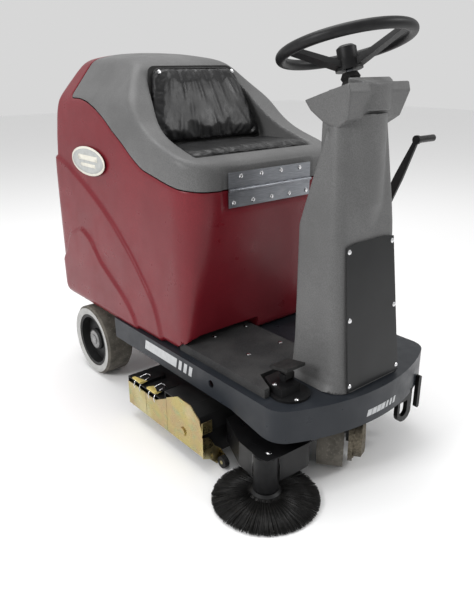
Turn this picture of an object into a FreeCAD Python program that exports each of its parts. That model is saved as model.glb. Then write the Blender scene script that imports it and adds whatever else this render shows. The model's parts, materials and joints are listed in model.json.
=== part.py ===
import FreeCAD, Part
import math
import os
import Sketcher
from FreeCAD import Placement, Rotation, Vector

# Ride-on sweeper: a battery machine with a steering column in front, a hinged seat cover over
# the battery bay, a main broom deck under the frame and a side brush at the front right corner.
# Design axes: X = 0 is the machine's centre plane with +X its left side, -Y is forward,
# Z = 0 is the floor. Everything is exported shifted by shift_x, shift_y, which puts the origin
# under the middle of the whole machine.

DOC = FreeCAD.newDocument("ride_on_sweeper")
SHEET = DOC.addObject("Spreadsheet::Sheet", "Sizes")

DIMENSIONS = {
    # where the export origin lies
    "shift_x": 74.5, "shift_y": -44.5,
    # frame: rails, apron and deck plate
    "rail_side": 328, "frame_top": 289, "rail_bottom": 214, "apron_bottom": 190, "plate": 6,
    "frame_rear": 323, "nose_tip": -628, "nose_radius": 636, "apron_corner": 66,
    "apron_step_rear": -350, "apron_step_front": -480, "flange": 56, "deck_edge": -40,
    "tie_hole_radius": 12, "tie_hole_along": -255, "tie_hole_height": 258,
    "subframe_side": 205, "subframe_plate": 12, "subframe_rear": 690, "cross_tube": 27,
    # wheels
    "wheel_radius": 138, "wheel_width": 111, "wheel_outer": 342, "wheel_along": 505,
    "wheel_bore": 105, "wheel_lip": 119, "hub_radius": 43, "axle_radius": 12.5,
    # drive and steering
    "pivot_along": -473, "steer_rest": -51.3, "drive_radius": 100, "drive_width": 77,
    "drive_offset": -13.6, "drive_lead": -59.5, "kingpin": 20, "gear_flange": 80, "gear_body": 66,
    "steering_tilt": 16, "rim_radius": 168.6, "rim_tube": 14, "rim_along": -426.5,
    "rim_height": 1193, "shaft_radius": 9, "coupling_radius": 22,
    # column and console
    "column_rear": -396, "column_wall": 5, "kink_height": 742, "column_top": 1040,
    "console_side": 119, "console_wall": 4, "fascia_along": -460, "fascia_height": 1073,
    # step plate and pedal
    "step_dimple": 8, "step_sink": 1, "step_side": 300, "step_inner": -25, "step_top": 317, "step_sheet": 3,
    "step_rear": -56, "step_front": -388, "step_tab_front": -462, "step_tab": 18, "step_notch": -250,
    "pedal_side": -215, "pedal_width": 70, "pedal_along": -462, "pedal_height": 340,
    # tank and seat cover
    "tank_side": 320, "tank_wall": 6, "tank_corner": 120, "tank_rear_corner": 60,
    "hinge_along": -170, "hinge_height": 805, "leaf_half": 168, "leaf_width": 49, "leaf_side": -15,
    "seat_floor": 888, "seat_side": 243, "seat_top_side": 160, "back_foot": 147,
    "back_head": 222, "back_top": 1150,
    # lever
    "lever_side": 250, "lever_pivot_along": -209, "lever_pivot_height": 310,
    "grip_along": -494, "grip_height": 944, "grip_radius": 10, "grip_length": 80,
    # broom deck
    "deck_right": -396, "deck_left": 285, "deck_sheet": 3, "broom_radius": 90, "broom_along": -195,
    "broom_height": 91, "broom_core": 45, "belt_side": 300, "motor_along": -150, "motor_height": 226,
    # side brush
    "brush_side": -333, "brush_along": -508, "brush_radius": 158, "brush_hub": 44,
    "arm_height": 150, "arm_pivot_height": 168, "arm_pivot_side": -190,
    # batteries
    "battery_length": 260, "battery_width": 180, "battery_height": 275,
    # domed fasteners
    "screw_head": 7, "screw_rise": 4,
}


class Dim:
    """A size that carries its number and the sheet formula it comes from."""

    def __init__(self, number, formula):
        self.number = float(number)
        self.formula = formula

    def combine(self, other, sign):
        other = dim(other)
        number = {"+": self.number + other.number, "-": self.number - other.number,
                  "*": self.number * other.number,
                  "/": self.number / other.number if other.number else 0.0}[sign]
        return Dim(number, f"({self.formula} {sign} {other.formula})")

    def __add__(self, other):
        return self.combine(other, "+")

    def __sub__(self, other):
        return self.combine(other, "-")

    def __mul__(self, other):
        return self.combine(other, "*")

    def __truediv__(self, other):
        return self.combine(other, "/")

    def __radd__(self, other):
        return dim(other) + self

    def __rsub__(self, other):
        return dim(other) - self

    def __rmul__(self, other):
        return dim(other) * self

    def __neg__(self):
        return Dim(-self.number, f"(0 - {self.formula})")


def dim(value):
    """Plain numbers become sizes with a constant formula."""
    return value if isinstance(value, Dim) else Dim(value, repr(float(value)))


class Sizes:
    """Attribute access to the sheet: sizes.rail_side is a Dim bound to its cell."""

    def __getattr__(self, alias):
        return Dim(DIMENSIONS[alias], f"Sizes.{alias}")


for row, (alias, value) in enumerate(DIMENSIONS.items(), start=1):
    SHEET.set(f"A{row}", alias)
    SHEET.set(f"B{row}", str(value))
    SHEET.setAlias(f"B{row}", alias)
DOC.recompute()
s = Sizes()
NODES = []


def num(value):
    """The number in a Dim, or the number itself."""
    return value.number if isinstance(value, Dim) else float(value)


# ---------------------------------------------------------------- building helpers

def bind(obj, prop, value):
    """Gives a property its number and ties it to the sheet."""
    value = dim(value)
    obj.setExpression(prop, value.formula)


def place(obj, x, y, z, rotation=None):
    """Puts an object at a design position, shifted to the export origin."""
    where = (dim(x) + s.shift_x, dim(y) + s.shift_y, dim(z))
    obj.Placement = Placement(Vector(*[num(v) for v in where]), rotation or Rotation())
    for letter, value in zip("xyz", where):
        obj.setExpression(f"Placement.Base.{letter}", value.formula)
    return obj


def node(obj, name):
    """Registers an object as a sub-part of the machine."""
    obj.Label = name
    NODES.append(obj)
    return obj


def feature(name, shape):
    """A sub-part with a free shape, drawn in design axes."""
    obj = DOC.addObject("Part::Feature", name)
    own = shape.Placement
    obj.Shape = shape
    return node(place(obj, own.Base.x, own.Base.y, own.Base.z, own.Rotation), name)


def box(name, size, corner, rotation=None):
    obj = DOC.addObject("Part::Box", name)
    for prop, value in zip(("Length", "Width", "Height"), size):
        bind(obj, prop, value)
    return place(obj, *corner, rotation)


ALONG = {"x": Rotation(Vector(0, 1, 0), 90), "y": Rotation(Vector(1, 0, 0), -90), "z": Rotation()}


def rod(name, radius, length, start, along="z"):
    """A round bar from its start point along an axis."""
    obj = DOC.addObject("Part::Cylinder", name)
    bind(obj, "Radius", radius)
    bind(obj, "Height", length)
    rotation = ALONG[along] if isinstance(along, str) else along
    return place(obj, *start, rotation)


def minus(name, base, *tools):
    """The base with tools cut out of it."""
    result = base
    for count, tool in enumerate(tools):
        step = DOC.addObject("Part::Cut", f"{name}_cut_{count}")
        step.Base, step.Tool = result, tool
        result = step
    return result


def group(name, *shapes):
    """Separate solids kept in one object."""
    obj = DOC.addObject("Part::Compound", f"{name}_group")
    obj.Links = list(shapes)
    return obj


def closed_sketch(body, plane, points):
    """A closed outline on one of the body's origin planes, every corner bound to the sheet."""
    sketch = body.newObject("Sketcher::SketchObject", f"{body.Name}_outline")
    origin_plane = [f for f in body.Origin.OriginFeatures if f.Role == f"{plane}_Plane"][0]
    sketch.AttachmentSupport = (origin_plane, [""])
    sketch.MapMode = "FlatFace"
    corners = [Vector(num(u), num(v), 0) for u, v in points]
    count = len(corners)
    for i in range(count):
        sketch.addGeometry(Part.LineSegment(corners[i], corners[(i + 1) % count]), False)
    for i in range(count):
        sketch.addConstraint(Sketcher.Constraint("Coincident", i, 2, (i + 1) % count, 1))
    for i, (u, v) in enumerate(points):
        for kind, value in (("DistanceX", u), ("DistanceY", v)):
            row = sketch.addConstraint(Sketcher.Constraint(kind, -1, 1, i, 1, num(value)))
            sketch.setExpression(f"Constraints[{row}]", dim(value).formula)
    return sketch


def padded_body(name, plane, points, depth, corner, rotation=None):
    """A sheet or block: an outline on XY, XZ or YZ, padded along the plane's normal.
    The XZ plane's normal points to -Y."""
    body = DOC.addObject("PartDesign::Body", name)
    sketch = closed_sketch(body, plane, points)
    pad = body.newObject("PartDesign::Pad", f"{name}_pad")
    pad.Profile = sketch
    bind(pad, "Length", depth)
    body.Tip = pad
    return place(body, *corner, rotation)


def turned_body(name, points, corner, along="z", rotation=None):
    """A turned piece: points are (radius, height) about the body's own Z axis."""
    body = DOC.addObject("PartDesign::Body", name)
    sketch = closed_sketch(body, "XZ", points)
    turn = body.newObject("PartDesign::Revolution", f"{name}_turn")
    turn.Profile = sketch
    turn.ReferenceAxis = (sketch, ["V_Axis"])
    turn.Angle = 360
    body.Tip = turn
    return place(body, *corner, rotation or ALONG[along])


def prism(plane, points, low, high):
    """A plain solid: an outline in the named plane, pushed from low to high along the third axis."""
    axes = {"XY": lambda u, v, w: Vector(u, v, w), "XZ": lambda u, v, w: Vector(u, w, v),
            "YZ": lambda u, v, w: Vector(w, u, v)}[plane]
    corners = [axes(num(u), num(v), num(low)) for u, v in points]
    wire = Part.makePolygon(corners + corners[:1])
    push = axes(0, 0, num(high) - num(low))
    return Part.Face(wire).extrude(push)


def shrunk_prism(plane, points, low, high, inset):
    """The same solid with its outline moved in by a wall thickness."""
    axes = {"XY": lambda u, v, w: Vector(u, v, w), "XZ": lambda u, v, w: Vector(u, w, v),
            "YZ": lambda u, v, w: Vector(w, u, v)}[plane]
    corners = [axes(num(u), num(v), num(low)) for u, v in points]
    face = Part.Face(Part.makePolygon(corners + corners[:1])).makeOffset2D(-inset, 2)
    return face.extrude(axes(0, 0, num(high) - num(low)))


# ---------------------------------------------------------------- frame

def apron_face(inset, height):
    """The frame's plan: straight rails, round front corners and a bowed nose."""
    side, rear = num(s.rail_side) - inset, num(s.frame_rear) - inset
    nose, corner = num(s.nose_radius) - inset, num(s.apron_corner) - inset
    nose_centre = num(s.nose_tip) + num(s.nose_radius)
    across = side - corner
    along = nose_centre - math.sqrt((nose - corner) ** 2 - across ** 2)
    reach = nose / (nose - corner)
    meet = Vector(across * reach, nose_centre + (along - nose_centre) * reach, height)
    turn = math.atan2(meet.y - along, meet.x - across) / 2
    bend = Vector(across + corner * math.cos(turn), along + corner * math.sin(turn), height)

    def flip(point):
        return Vector(-point.x, point.y, point.z)

    start, end = Vector(side, rear, height), Vector(side, along, height)
    tip = Vector(0, nose_centre - nose, height)
    edges = [Part.LineSegment(start, end), Part.Arc(end, bend, meet), Part.Arc(meet, tip, flip(meet)),
             Part.Arc(flip(meet), flip(bend), flip(end)), Part.LineSegment(flip(end), flip(start)),
             Part.LineSegment(flip(start), start)]
    return Part.Face(Part.Wire([edge.toShape() for edge in edges]))


def main_frame():
    """Welded frame: perimeter band, top flange, front deck plate and the rear subframe."""
    top, low, plate = num(s.frame_top), num(s.apron_bottom), num(s.plate)
    band = apron_face(0, low).extrude(Vector(0, 0, top - low))
    band = band.cut(apron_face(plate, low).extrude(Vector(0, 0, top - low)))
    step = [(s.apron_step_front, s.apron_bottom), (s.apron_step_rear, s.rail_bottom),
            (num(s.frame_rear) + 10, s.rail_bottom), (num(s.frame_rear) + 10, low - 10),
            (s.apron_step_front, low - 10)]
    band = band.cut(prism("YZ", step, -400, 400))
    lid = apron_face(0, top - plate).extrude(Vector(0, 0, plate))
    well = prism("XY", [(-num(s.rail_side) + num(s.flange), s.deck_edge),
                        (num(s.rail_side) - num(s.flange), s.deck_edge),
                        (num(s.rail_side) - num(s.flange), num(s.frame_rear) - num(s.flange)),
                        (-num(s.rail_side) + num(s.flange), num(s.frame_rear) - num(s.flange))],
                 top - plate, top)
    lid = lid.cut(well)
    frame = band.fuse(lid)
    wheel, bottom = num(s.wheel_along), num(s.rail_bottom)
    cheek = [(num(s.frame_rear) - plate, bottom), (wheel - 65, bottom), (wheel - 35, 105),
             (wheel + 35, 105), (wheel + 65, bottom), (s.subframe_rear, 245),
             (s.subframe_rear, top), (num(s.frame_rear) - plate, top)]
    for side in (-1, 1):
        inner, outer = side * num(s.subframe_side), side * (num(s.subframe_side) + num(s.subframe_plate))
        frame = frame.fuse(prism("YZ", cheek, min(inner, outer), max(inner, outer)))
    tube, reach = num(s.cross_tube), num(s.subframe_side)
    pivot = Vector(0, num(s.pivot_along), 222)
    frame = frame.fuse(Part.makeCylinder(47, top - 218, pivot))
    frame = frame.cut(Part.makeCylinder(num(s.kingpin) + 0.05, 100, pivot - Vector(0, 0, 10)))
    for along, width in ((wheel + 110, 290), (num(s.subframe_rear) - tube, reach)):
        frame = frame.fuse(Part.makeBox(2 * width, tube, tube, Vector(-width, along, top - tube)))
    lever = (num(s.lever_side), num(s.lever_pivot_along), num(s.lever_pivot_height))
    for x in (lever[0] - 12, lever[0] + 6):
        ear = Part.makeBox(6, 50, lever[2] - top, Vector(x, lever[1] - 25, top))
        ear = ear.fuse(Part.makeCylinder(25, 6, Vector(x, lever[1], lever[2]), Vector(1, 0, 0)))
        frame = frame.fuse(ear.cut(Part.makeBox(20, 80, 60, Vector(x - 5, lever[1] - 40, top - 60))))
    frame = frame.fuse(Part.makeCylinder(8, 24, Vector(lever[0] - 12, lever[1], lever[2]), Vector(1, 0, 0)))
    arm_x, arm_z = num(s.arm_pivot_side), num(s.arm_pivot_height)
    for along in (-558, -308):
        lug = Part.makeBox(24, 8, top - arm_z, Vector(arm_x - 12, along, arm_z))
        lug = lug.fuse(Part.makeCylinder(12, 8, Vector(arm_x, along, arm_z), Vector(0, 1, 0)))
        lug = lug.cut(Part.makeCylinder(8.05, 20, Vector(arm_x, along - 5, arm_z), Vector(0, 1, 0)))
        frame = frame.fuse(lug)
    axle_hole = Part.makeCylinder(num(s.axle_radius), 600, Vector(-300, wheel, num(s.wheel_radius)),
                                  Vector(1, 0, 0))
    tie_hole = Part.makeCylinder(num(s.tie_hole_radius), 700,
                                 Vector(-350, num(s.tie_hole_along), num(s.tie_hole_height)),
                                 Vector(1, 0, 0))
    return feature("main_frame", frame.cut(axle_hole).cut(tie_hole).removeSplitter())


main_frame()

node(rod("rear_axle", s.axle_radius, s.wheel_outer * 2 - 44,
         (22 - s.wheel_outer, s.wheel_along, s.wheel_radius), "x"), "rear_axle")

# step plate: a folded sheet with a skirt, cut back beside the pedal, with dimples for its screws
step_skew = (num(s.step_notch) - num(s.step_tab) + num(s.step_side)) / (num(s.step_front)
                                                                         - num(s.step_tab_front))
step_lean = math.sqrt(1 + step_skew ** 2) - step_skew
step_points = [(-s.step_side, s.step_rear), (-s.step_side, s.step_tab_front),
               (s.step_tab - s.step_side, s.step_tab_front), (s.step_notch, s.step_front),
               (s.step_inner, s.step_front), (s.step_inner, s.step_rear)]
step_skin = padded_body("step_skin", "XY", step_points, s.step_top - s.frame_top, (0, 0, s.frame_top))
step_void_points = [(s.step_sheet - s.step_side, s.step_rear - s.step_sheet),
                    (s.step_sheet - s.step_side, s.step_tab_front + s.step_sheet),
                    (s.step_tab - s.step_side - s.step_sheet * step_lean, s.step_tab_front + s.step_sheet),
                    (s.step_notch - s.step_sheet * step_lean, s.step_front + s.step_sheet),
                    (s.step_inner - s.step_sheet, s.step_front + s.step_sheet),
                    (s.step_inner - s.step_sheet, s.step_rear - s.step_sheet)]
step_void = padded_body("step_void", "XY", step_void_points, s.step_top - s.frame_top - s.step_sheet,
                        (0, 0, s.frame_top))
STEP_SCREWS = [(x, y) for x in (-190, -57) for y in (-95, -267)]
dimples = [rod(f"step_dimple_{count}", s.step_dimple, s.step_sheet, (x, y, s.step_top - s.step_sink))
           for count, (x, y) in enumerate(STEP_SCREWS)]
node(minus("step_plate", step_skin, step_void, *dimples), "step_plate")


def domed_screw(head, rise, at, direction):
    """A dome-head screw's head, seated on the point and facing along the direction."""
    screw = Part.makeCylinder(head, 0.35 * rise)
    screw = screw.fuse(Part.makeCone(head, 0.75 * head, 0.4 * rise, Vector(0, 0, 0.35 * rise)))
    screw = screw.fuse(Part.makeCone(0.75 * head, 0.3 * head, 0.25 * rise, Vector(0, 0, 0.75 * rise)))
    screw.Placement = Placement(at, Rotation(Vector(0, 0, 1), direction))
    return screw


def screw_group(name, places):
    """Identical dome-head screws as one node of separate solids."""
    head, rise = num(s.screw_head), num(s.screw_rise)
    return feature(name, Part.makeCompound([domed_screw(head, rise, at, direction)
                                            for at, direction in places]))


UP = Vector(0, 0, 1)
FORWARD = Vector(0, -1, 0)
# where the dome-head screws of the fixed body sit, and which way their heads face
body_screws = [(Vector(x, y, num(s.step_top) - num(s.step_sink)), UP) for x, y in STEP_SCREWS]

# ---------------------------------------------------------------- steering column

def column_section(height, half, front, rear, corner, bow):
    """One level of the column: flat back, rounded front corners and a slightly bowed front."""
    back_right, side_right = Vector(half, rear, height), Vector(half, front + corner, height)
    meet = Vector(half - corner, front, height)
    knee = Vector(half - corner * 0.293, front + corner * 0.293, height)

    def flip(point):
        return Vector(-point.x, point.y, point.z)

    edges = [Part.LineSegment(flip(back_right), back_right), Part.LineSegment(back_right, side_right),
             Part.Arc(side_right, knee, meet), Part.Arc(meet, Vector(0, front - bow, height), flip(meet)),
             Part.Arc(flip(meet), flip(knee), flip(side_right)),
             Part.LineSegment(flip(side_right), flip(back_right))]
    return Part.Wire([edge.toShape() for edge in edges])


def column_solid(inset):
    """The column's outer form, or the hollow inside it when inset by the wall."""
    rear, top = num(s.column_rear) - inset, num(s.column_top)
    foot, kink = num(s.frame_top), num(s.kink_height)
    levels = [(foot, 150, -592, rear, 55, 4), (foot + 40, 133, -585, rear, 50, 4),
              (foot + 110, 127, -576, rear, 45, 4), (kink, 122, -543, rear, 32, 5)]
    upper = [(kink, 122, -543, rear, 32, 5), (top - 30, 100, -512, -468 - inset, 24, 4)]
    sections = [column_section(z, half - inset, front + inset, back, corner, bow)
                for z, half, front, back, corner, bow in levels]
    lower = Part.makeLoft(sections, True, True)
    upper_sections = [column_section(z, half - inset, front + inset, back, corner, bow)
                      for z, half, front, back, corner, bow in upper]
    column = lower.fuse(Part.makeLoft(upper_sections, True, True))
    bulge = [Part.Wire([Part.Circle(Vector(0, y, z), UP, r - inset).toShape()])
             for y, z, r in ((-455, kink - 8, 103), (-456, top - 20, 94))]
    front_half = Part.makeBox(400, 300, 600, Vector(-200, -745, 600))
    return column.fuse(Part.makeLoft(bulge, True, True).common(front_half))


CONSOLE_SIDE_VIEW = [(-545, 1108), (-396, 1063), (-412, 1038), (-455, 1008), (-500, 1000), (-536, 1022),
                     (-551, 1086)]


def console_solid(inset):
    """The console head: a wedge, wide at the top, tapering down to the column."""
    side = num(s.console_side)
    front_view = [(-side, 1130), (-side, 1084), (-side + 23, 990), (side - 23, 990), (side, 1084),
                  (side, 1130)]
    if inset:
        wedge = shrunk_prism("YZ", CONSOLE_SIDE_VIEW, -150, 150, inset)
        return wedge.common(shrunk_prism("XZ", front_view, -600, -350, inset))
    return prism("YZ", CONSOLE_SIDE_VIEW, -150, 150).common(prism("XZ", front_view, -600, -350))


def column_parts():
    """Column shell and console head, both thin mouldings open to each other."""
    wall = num(s.column_wall)
    console = console_solid(0)
    inner = column_solid(wall)
    floor_cut = Part.makeBox(600, 600, wall + 1, Vector(-300, -800, num(s.frame_top) - wall - 0.5))
    shell = column_solid(0).cut(inner).cut(console)
    drop = inner.copy()
    drop.translate(Vector(0, 0, -wall))
    foot = Part.makeBox(600, 400, 40, Vector(-300, -800, num(s.frame_top) - 1))
    shell = shell.cut(drop.common(foot)).cut(floor_cut)
    feature("column_shell", largest(shell))
    hollow = console_solid(num(s.console_wall))
    head = console.cut(hollow).cut(inner.common(prism("XZ", [(-88, 950), (88, 950), (88, 1040), (-88, 1040)],
                                                      -700, -300)))
    opening = tilted(Part.makeBox(206, 118, 24, Vector(-103, -57, -14)))
    feature("console_housing", largest(head.cut(opening)))


def largest(shape):
    """The biggest solid of a cut, without slivers."""
    return max(shape.Solids, key=lambda solid: solid.Volume)


TILT = Rotation(Vector(1, 0, 0), -DIMENSIONS["steering_tilt"])


def tilted(shape, origin=None):
    """A shape drawn square to the console's sloping face, moved onto it."""
    moved = shape.copy()
    at = origin or Vector(0, num(s.fascia_along), num(s.fascia_height))
    moved.Placement = Placement(at, TILT).multiply(moved.Placement)
    return moved


column_parts()

# fascia plate with holes for the steering shaft and the controls
CONTROLS = {"speed": (-78, -8), "broom": (-78, 38), "key": (78, 38), "horn": (78, -8), "gauge": (0, 42)}
fascia = Part.makeBox(205, 117, 3, Vector(-102.5, -56.5, -4))
shaft_at = -(num(s.fascia_along) - num(s.rim_along)
             + (num(s.rim_height) - num(s.fascia_height)) * math.tan(math.radians(num(s.steering_tilt))))
shaft_v = shaft_at / math.cos(math.radians(num(s.steering_tilt)))
fascia = fascia.cut(Part.makeCylinder(16, 20, Vector(0, shaft_v, -10)))
for name in ("speed", "key", "horn"):
    fascia = fascia.cut(Part.makeCylinder(8.1, 20, Vector(CONTROLS[name][0], CONTROLS[name][1], -10)))
fascia = fascia.cut(Part.makeBox(17, 27, 20, Vector(CONTROLS["broom"][0] - 8.5, CONTROLS["broom"][1] - 13.5,
                                                    -10)))
gauge = Part.makeBox(44, 18, 3, Vector(-22, CONTROLS["gauge"][1] - 9, -1))
feature("control_fascia", tilted(fascia.fuse(gauge)))


def knob(cap_radius, stem_radius, rise, x, v):
    """A round control: a stem through the fascia under a wider cap."""
    stem = Part.makeCylinder(stem_radius, 14, Vector(x, v, -12))
    cap = Part.makeCylinder(cap_radius, rise, Vector(x, v, 1.5))
    return tilted(stem.fuse(cap).removeSplitter())


feature("speed_knob", knob(14, 8, 13, *CONTROLS["speed"]))
feature("horn_button", knob(11, 8, 6, *CONTROLS["horn"]))
key_blade = Part.makeBox(3, 22, 22, Vector(CONTROLS["key"][0] - 1.5, CONTROLS["key"][1] - 11, 6))
feature("key_switch", knob(10, 8, 6, *CONTROLS["key"]).fuse(tilted(key_blade)).removeSplitter())
rocker_face = prism("YZ", [(-10, -9), (10, -9), (12.6, -2), (12.6, 3), (0, 1.5), (-12.6, 5.5)], -8, 8)
rocker_face.translate(Vector(CONTROLS["broom"][0], CONTROLS["broom"][1], 0))
trunnion = Part.makeCylinder(1.5, 16.8, Vector(CONTROLS["broom"][0] - 8.4, CONTROLS["broom"][1], -2.5),
                             Vector(1, 0, 0))
feature("broom_switch", tilted(rocker_face.fuse(trunnion)))


# access panel on the column's leaning front, with its screws
PANEL_FOOT, PANEL_HEAD = (-597.0, 296.0), (-552.5, 707.0)


def panel():
    """A thin cover plate that follows the lean of the column's front."""
    lean = [PANEL_FOOT, PANEL_HEAD, (PANEL_HEAD[0] + 2.5, PANEL_HEAD[1]),
            (PANEL_FOOT[0] + 2.5, PANEL_FOOT[1])]
    sheet = prism("YZ", lean, -130, 130)
    front_view = [(-113, 290), (-98, 701), (-60, 707), (60, 707), (98, 701), (113, 290)]
    return sheet.common(prism("XZ", front_view, -640, -500)).cut(column_solid(0))


feature("access_panel", largest(panel()))
lean_out = Vector(0, PANEL_FOOT[1] - PANEL_HEAD[1], PANEL_HEAD[0] - PANEL_FOOT[0]).normalize()
for level, reach in ((0.04, 104), (0.5, 96), (0.955, 90)):
    along = PANEL_FOOT[0] + level * (PANEL_HEAD[0] - PANEL_FOOT[0])
    height = PANEL_FOOT[1] + level * (PANEL_HEAD[1] - PANEL_FOOT[1])
    body_screws += [(Vector(side * reach, along, height), lean_out) for side in (-1, 1)]

node(box("motor_controller", (110, 46, 180), (-55, -545, 380)), "motor_controller")

# steering wheel: torus rim, three ribbed spokes dished down to the hub
RIM_CENTRE = Vector(0, num(s.rim_along), num(s.rim_height))
SPOKE_ANGLES = (45, 165, 285)


def steering_wheel():
    """Rim, spokes and hub as one moulding, drawn about the wheel's own axis."""
    rim = Part.makeTorus(num(s.rim_radius), num(s.rim_tube))
    hub = Part.makeCylinder(36, 26, Vector(0, 0, -62)).fuse(Part.makeCylinder(27, 8, Vector(0, 0, -36)))
    wheel = rim.fuse(hub)
    for angle in SPOKE_ANGLES:
        arm = prism("XZ", [(24, -60), (24, -42), (num(s.rim_radius) - 6, 4), (num(s.rim_radius) - 2, -6)],
                    -17, 17)
        rib = prism("XZ", [(30, -52), (30, -36), (num(s.rim_radius) - 14, 6), (num(s.rim_radius) - 8, -2)],
                    -4, 4)
        spoke = arm.fuse(rib)
        spoke.rotate(Vector(0, 0, 0), UP, angle)
        wheel = wheel.fuse(spoke)
    return wheel.cut(Part.makeCylinder(num(s.shaft_radius), 40, Vector(0, 0, -64))).removeSplitter()


def on_wheel(shape):
    """A shape drawn about the steering wheel's axis, moved to its place."""
    return tilted(shape, RIM_CENTRE)


feature("steering_wheel_rim", on_wheel(steering_wheel()))
cap = Part.makeCylinder(26, 22, Vector(0, 0, -28)).fuse(Part.makeCone(26, 18, 6, Vector(0, 0, -6)))
feature("steering_wheel_cap", on_wheel(cap.removeSplitter()))
coupling_drop = (num(s.rim_along) - num(s.pivot_along)) / math.sin(math.radians(num(s.steering_tilt)))
upper_shaft = Part.makeCylinder(num(s.shaft_radius), coupling_drop - 28, Vector(0, 0, 0 - coupling_drop))
upper_shaft = upper_shaft.cut(Part.makeSphere(num(s.coupling_radius) + 0.3, Vector(0, 0, -coupling_drop)))
feature("steering_shaft", on_wheel(upper_shaft))
boot_profile = [(num(s.shaft_radius) + 1, -118), (30, -118), (24, -106), (28, -98), (22, -88), (26, -80),
                (20, -68), (num(s.shaft_radius) + 1, -68)]
boot_face = Part.Face(Part.makePolygon([Vector(r, 0, z) for r, z in boot_profile + boot_profile[:1]]))
boot = boot_face.revolve(Vector(0, 0, 0), UP, 360)
above_fascia = tilted(Part.makeBox(200, 200, 60, Vector(-100, -100, -1)))
feature("steering_boot", largest(on_wheel(boot).common(above_fascia)))
coupling_height = num(s.rim_height) - coupling_drop * math.cos(math.radians(num(s.steering_tilt)))

# ---------------------------------------------------------------- drive unit
# drawn about the kingpin with the wheel straight ahead, then turned to its rest angle

STEER = Rotation(UP, DIMENSIONS["steer_rest"])


def steered(name, shape):
    """A drive-unit piece, turned to the rest angle about the kingpin."""
    moved = shape.copy()
    moved.Placement = Placement(Vector(0, num(s.pivot_along), 0), STEER).multiply(moved.Placement)
    return feature(name, moved.removeSplitter() if moved.ShapeType != "Compound" else moved)


def disc(radius, start, length, bore=0.0):
    """A round piece on the drive wheel's axle, from start along +X."""
    centre = Vector(start, num(s.drive_lead), num(s.drive_radius))
    piece = Part.makeCylinder(radius, length, centre, Vector(1, 0, 0))
    return piece.cut(Part.makeCylinder(bore, length, centre, Vector(1, 0, 0))) if bore else piece


wheel_half = num(s.drive_width) / 2
wheel_left, wheel_right = num(s.drive_offset) + wheel_half, num(s.drive_offset) - wheel_half
lead, axle_level = num(s.drive_lead), num(s.drive_radius)
leg = [(lead - 30, 92), (lead + 30, 92), (lead + 62, 206), (lead - 20, 206)]
yoke = Part.makeCylinder(62, 10, Vector(0, 0, 206))
yoke = yoke.fuse(Part.makeBox(106, 60, 10, Vector(wheel_right - 13, lead - 15, 206)))
yoke = yoke.fuse(prism("YZ", leg, wheel_right - 13, wheel_right - 5))
yoke = yoke.fuse(prism("YZ", leg, wheel_left + 5, wheel_left + 13))
yoke = yoke.fuse(Part.makeCylinder(num(s.kingpin), 84, Vector(0, 0, 214)))
yoke = yoke.cut(disc(12.1, wheel_right - 20, 2 * wheel_half + 60))
steered("drive_yoke", yoke)
lower_shaft = Part.makeCylinder(10, coupling_height - 298, Vector(0, 0, 298))
steered("lower_steering_shaft",
        lower_shaft.fuse(Part.makeSphere(num(s.coupling_radius), Vector(0, 0, coupling_height))))
tyre = disc(num(s.drive_radius), wheel_right, num(s.drive_width), 66)
steered("drive_tyre", tyre)
rim = disc(66, wheel_right + 4, num(s.drive_width) - 8).cut(disc(56, wheel_right + 4, 26, 26))
steered("drive_rim", rim.fuse(disc(12, wheel_right - 16, num(s.drive_width) + 28)))
face = wheel_left + 13
gearcase = disc(num(s.gear_flange), face, 13).fuse(disc(num(s.gear_body), face + 13, 26))
gearcase = gearcase.fuse(Part.makeCone(num(s.gear_body), 48, 10, Vector(face + 39, lead, axle_level),
                                       Vector(1, 0, 0)))
bolts = []
for step in range(6):
    angle = math.radians(30 + 60 * step)
    centre = Vector(face + 13, lead + 73 * math.cos(angle), axle_level + 73 * math.sin(angle))
    bolts.append(domed_screw(6, 5, centre, Vector(1, 0, 0)))
steered("drive_gearcase", Part.makeCompound([gearcase.removeSplitter()] + bolts))

# ---------------------------------------------------------------- rear wheels

def rear_wheels():
    """Each rear wheel: a cast polyurethane tyre, a dished rim and a bearing hub on the fixed axle."""
    fit = num(s.axle_radius) + 0.05
    tyre = [(s.wheel_bore, 4), (s.wheel_lip, 0), (s.wheel_radius - 8, 0), (s.wheel_radius, 8),
            (s.wheel_radius, s.wheel_width - 16), (s.wheel_radius - 16, s.wheel_width),
            (s.wheel_bore, s.wheel_width)]
    rim = [(s.hub_radius, 30), (s.wheel_bore - 12, 40), (s.wheel_bore - 12, 6), (s.wheel_bore, 6),
           (s.wheel_bore, s.wheel_width), (s.wheel_bore - 12, s.wheel_width), (s.wheel_bore - 12, 54),
           (s.hub_radius, 62)]
    hub = [(fit, 22), (20, 22), (20, 12), (s.hub_radius - 5, 14), (s.hub_radius, 20),
           (s.hub_radius, s.wheel_width - 6), (fit, s.wheel_width - 6)]
    cap = [(0, 7), (12, 7), (19, 10), (19, 18), (0, 18)]
    for side, word in ((-1, "right"), (1, "left")):
        axis = Rotation(Vector(0, 1, 0), -90 * side)
        start = (side * s.wheel_outer, s.wheel_along, s.wheel_radius)
        node(turned_body(f"{word}_wheel_tyre", tyre, start, rotation=axis), f"{word}_wheel_tyre")
        pieces = [turned_body(f"{word}_{piece}", outline, start, rotation=axis)
                  for piece, outline in (("rim", rim), ("hub", hub), ("cap", cap))]
        node(group(f"{word}_wheel_rim", *pieces), f"{word}_wheel_rim")


rear_wheels()

# ---------------------------------------------------------------- body: tank and seat cover

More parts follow.
